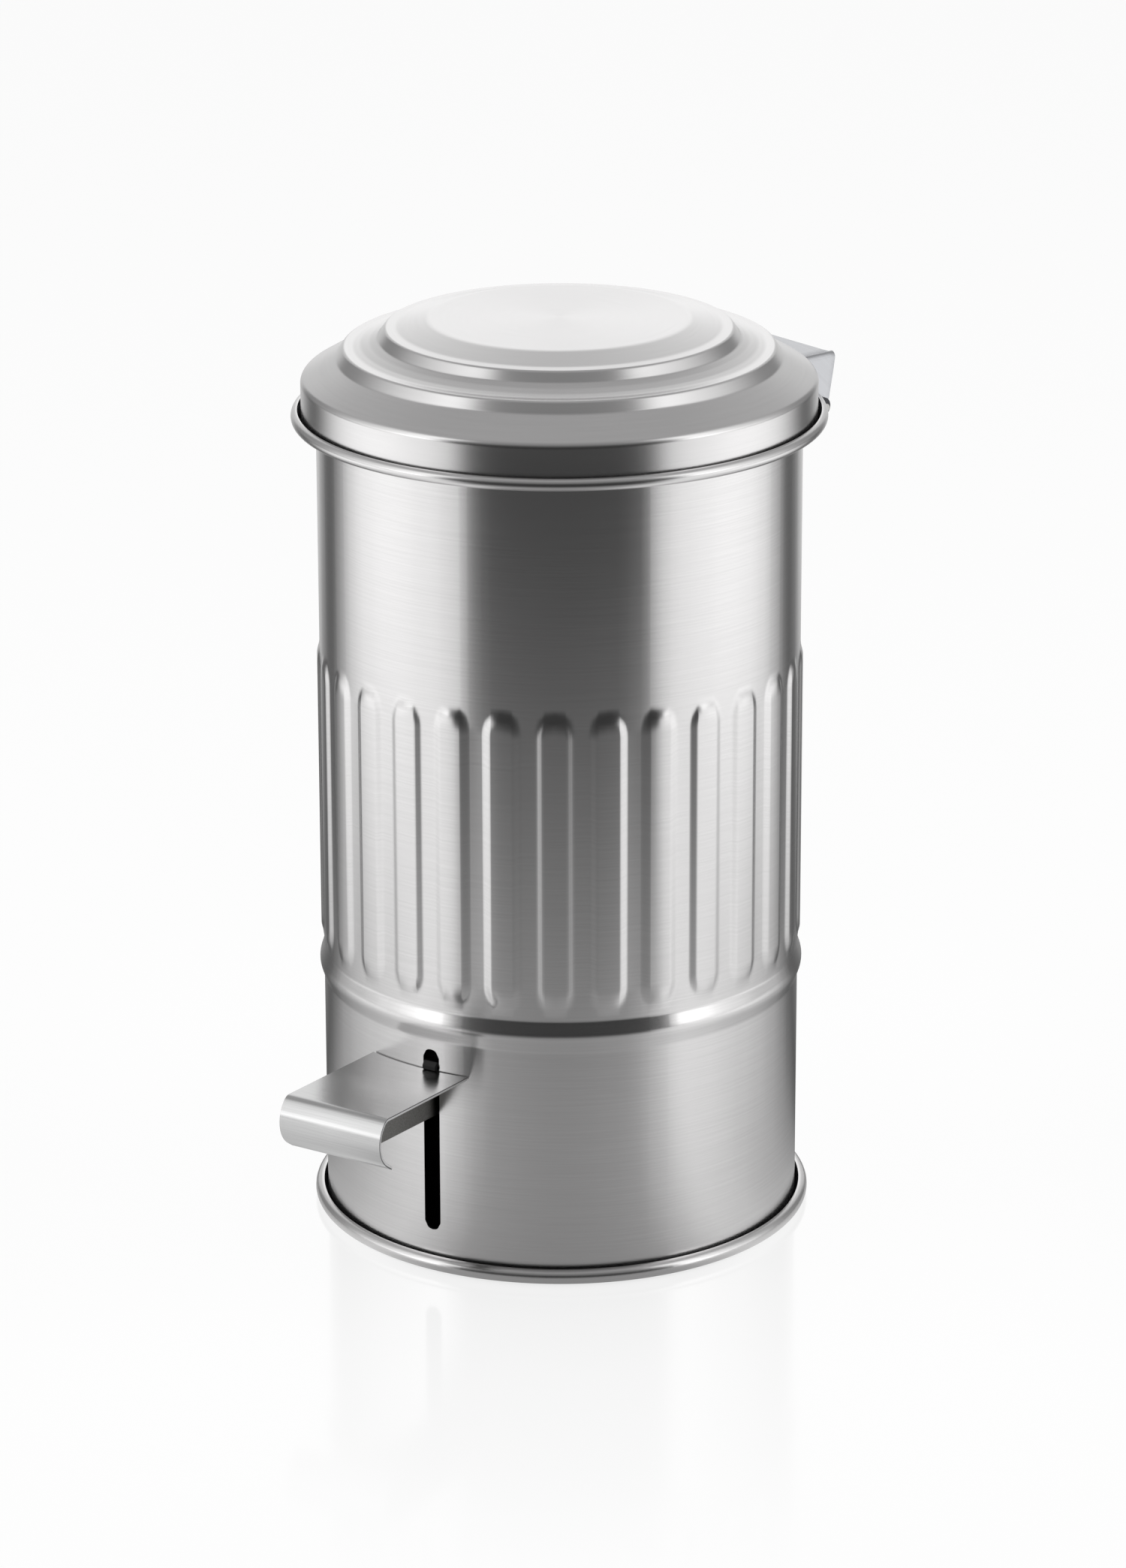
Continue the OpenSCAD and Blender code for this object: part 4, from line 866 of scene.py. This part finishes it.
def towardCamera(tree, place):
    # (1 + cosine of the angle between a place and the camera's side) / 2
    turn = math.radians(view["azimuth"])
    cosine = vectorOf(tree, "DOT_PRODUCT", vectorOf(tree, "NORMALIZE", place),
                      (math.sin(turn), -math.cos(turn), 0))
    return spread(tree, cosine, 0, 1, -1, 1)


def flatPlace(tree):
    # Object coordinates without their height
    place = addNode(tree, "ShaderNodeTexCoord").outputs["Object"]
    return vectorOf(tree, "MULTIPLY", place, (1, 1, 0))


def seenDirectly(tree):
    # 1 on camera, glossy and transmission rays
    path = addNode(tree, "ShaderNodeLightPath")
    seen = mathOf(tree, "MAXIMUM", path.outputs["Is Camera Ray"], path.outputs["Is Glossy Ray"])
    return path, mathOf(tree, "MAXIMUM", seen, path.outputs["Is Transmission Ray"])


def buildTable():
    # glows a little so that it stays white, takes the can's shadow, and mirrors its foot faintly
    material, tree = newMaterial("white_laminate_table")
    place = flatPlace(tree)
    reach, around = vectorOf(tree, "LENGTH", place), towardCamera(tree, place)
    path, seen = seenDirectly(tree)
    diffuse = addNode(tree, "ShaderNodeBsdfDiffuse", None, {"Color": linearColour(studio["floorColour"])})
    glow = addNode(tree, "ShaderNodeEmission", None, {"Color": (1, 1, 1, 1), "Strength": 1.0})
    white = addNode(tree, "ShaderNodeMixShader", None, {"Fac": studio["floorGlow"]},
                    {1: diffuse.outputs["BSDF"], 2: glow.outputs["Emission"]})
    base = addNode(tree, "ShaderNodeMixShader", None, None,
                   {"Fac": seen, 1: diffuse.outputs["BSDF"], 2: white.outputs["Shader"]})
    share = curveOf(tree, spread(tree, reach, 0, 1, 0, studio["mirrorReach"]), studio["mirror"])
    mirror = addNode(tree, "ShaderNodeBsdfGlossy", None,
                     {"Color": (1, 1, 1, 1), "Roughness": studio["mirrorRough"]})
    top = addNode(tree, "ShaderNodeMixShader", None, None,
                  {"Fac": mathOf(tree, "MULTIPLY", share, path.outputs["Is Camera Ray"]),
                   1: base.outputs["Shader"], 2: mirror.outputs["BSDF"]})
    # flags on the table, for reflections alone
    far = addNode(tree, "ShaderNodeMapRange", {"interpolation_type": "SMOOTHSTEP"},
                  {"From Min": studio["nearFrom"], "From Max": studio["nearTo"]}, {"Value": reach})
    flags = mixOf(tree, far.outputs["Result"], curveOf(tree, around, studio["nearTable"]),
                  curveOf(tree, around, studio["farTable"]))
    shade = spread(tree, reach, studio["footShade"], 1, studio["footFrom"], studio["footTo"])
    flagGlow = addNode(tree, "ShaderNodeEmission", None, {"Color": (1, 1, 1, 1)},
                       {"Strength": mathOf(tree, "MULTIPLY", flags, shade)})
    surface = addNode(tree, "ShaderNodeMixShader", None, None,
                      {"Fac": path.outputs["Is Glossy Ray"], 1: top.outputs["Shader"],
                       2: flagGlow.outputs["Emission"]})
    addNode(tree, "ShaderNodeOutputMaterial", None, None, {"Surface": surface.outputs["Shader"]})
    size, low = studio["tableSize"], -studio["tableLow"]
    corners = [(-size, -size, low), (size, -size, low), (size, size, low), (-size, size, low)]
    stageMesh("table", material, corners, [(0, 1, 2, 3)])


def buildTent():
    # half a globe that only reflections see: a bright wall behind, the ceiling, and the camera's dark side
    material, tree = newMaterial("room_seen_by_steel")
    place = addNode(tree, "ShaderNodeTexCoord").outputs["Object"]
    unit = vectorOf(tree, "NORMALIZE", place)
    height = addNode(tree, "ShaderNodeSeparateXYZ", None, None, {0: unit}).outputs["Z"]
    boxShare = mathOf(tree, "MULTIPLY",
                      curveOf(tree, towardCamera(tree, flatPlace(tree)), studio["boxAround"]),
                      curveOf(tree, height, studio["boxUp"]))
    turn = math.radians(view["azimuth"])
    away = vectorOf(tree, "DOT_PRODUCT", unit, (-math.sin(turn), math.cos(turn), 0))
    aside = vectorOf(tree, "DOT_PRODUCT", unit, (math.cos(turn), math.sin(turn), 0))
    overShare = spread(tree, mathOf(tree, "ARCTAN2", height, away), 0, 1, 0, math.pi)
    wall = mathOf(tree, "MULTIPLY", curveOf(tree, overShare, studio["wallOver"]),
                  curveOf(tree, mathOf(tree, "ABSOLUTE", aside), studio["wallAside"]))
    room = mathOf(tree, "ADD", curveOf(tree, overShare, studio["room"]), wall)
    # the softboxes cover the room where their share is 1
    rest = mathOf(tree, "SUBTRACT", studio["boxLight"], room)
    light = mathOf(tree, "MULTIPLY_ADD", boxShare, rest, room)
    glow = addNode(tree, "ShaderNodeEmission", None, {"Color": (1, 1, 1, 1)}, {"Strength": light})
    addNode(tree, "ShaderNodeOutputMaterial", None, None, {"Surface": glow.outputs["Emission"]})
    turns, rows = studio["tentTurns"], studio["tentRows"]
    turn, lift = np.meshgrid(np.linspace(0, 2 * math.pi, turns), np.linspace(0, math.pi / 2, rows))
    flat = studio["tentSize"] * np.cos(lift)
    points = np.stack([flat * np.cos(turn), flat * np.sin(turn), studio["tentSize"] * np.sin(lift)], -1)
    tent = stageMesh("tent", material, points.reshape(-1, 3), gridFaces(rows, turns))
    tent.visible_camera = tent.visible_diffuse = tent.visible_shadow = tent.visible_transmission = False


def buildLamps():
    # two softboxes, one on each side, P = pi A L watts for an even brightness L
    for side in (-1, 1):
        light = bpy.data.lights.new("softbox", "AREA")
        light.shape = "RECTANGLE"
        light.size, light.size_y = studio["lampWide"], studio["lampHigh"]
        light.energy = math.pi * studio["lampWide"] * studio["lampHigh"] * studio["lampLight"]
        lamp = bpy.data.objects.new("softbox", light)
        angle = math.radians(view["azimuth"] + side * studio["lampTurn"])
        lamp.location = (math.sin(angle) * studio["lampAway"], -math.cos(angle) * studio["lampAway"],
                         studio["lampLow"] + studio["lampHigh"] / 2)
        lamp.rotation_euler = (math.radians(90), 0, angle)
        lamp.visible_camera = lamp.visible_glossy = False
        scene.collection.objects.link(lamp)


def buildWorld():
    # white wherever the camera or a reflection looks, softer as a light
    world = bpy.data.worlds.new("whiteRoom")
    scene.world = world
    world.use_nodes = True
    tree = world.node_tree
    tree.nodes.clear()
    seen = seenDirectly(tree)[1]
    sky = addNode(tree, "ShaderNodeBackground", None, {"Color": (1, 1, 1, 1)},
                  {"Strength": spread(tree, seen, studio["ambient"], 1, 0, 1)})
    addNode(tree, "ShaderNodeOutputWorld", None, None, {"Surface": sky.outputs["Background"]})


buildCamera()
buildWorld()
buildTable()
buildTent()
buildLamps()
print("studio set")
scene.view_settings.view_transform = "Standard"
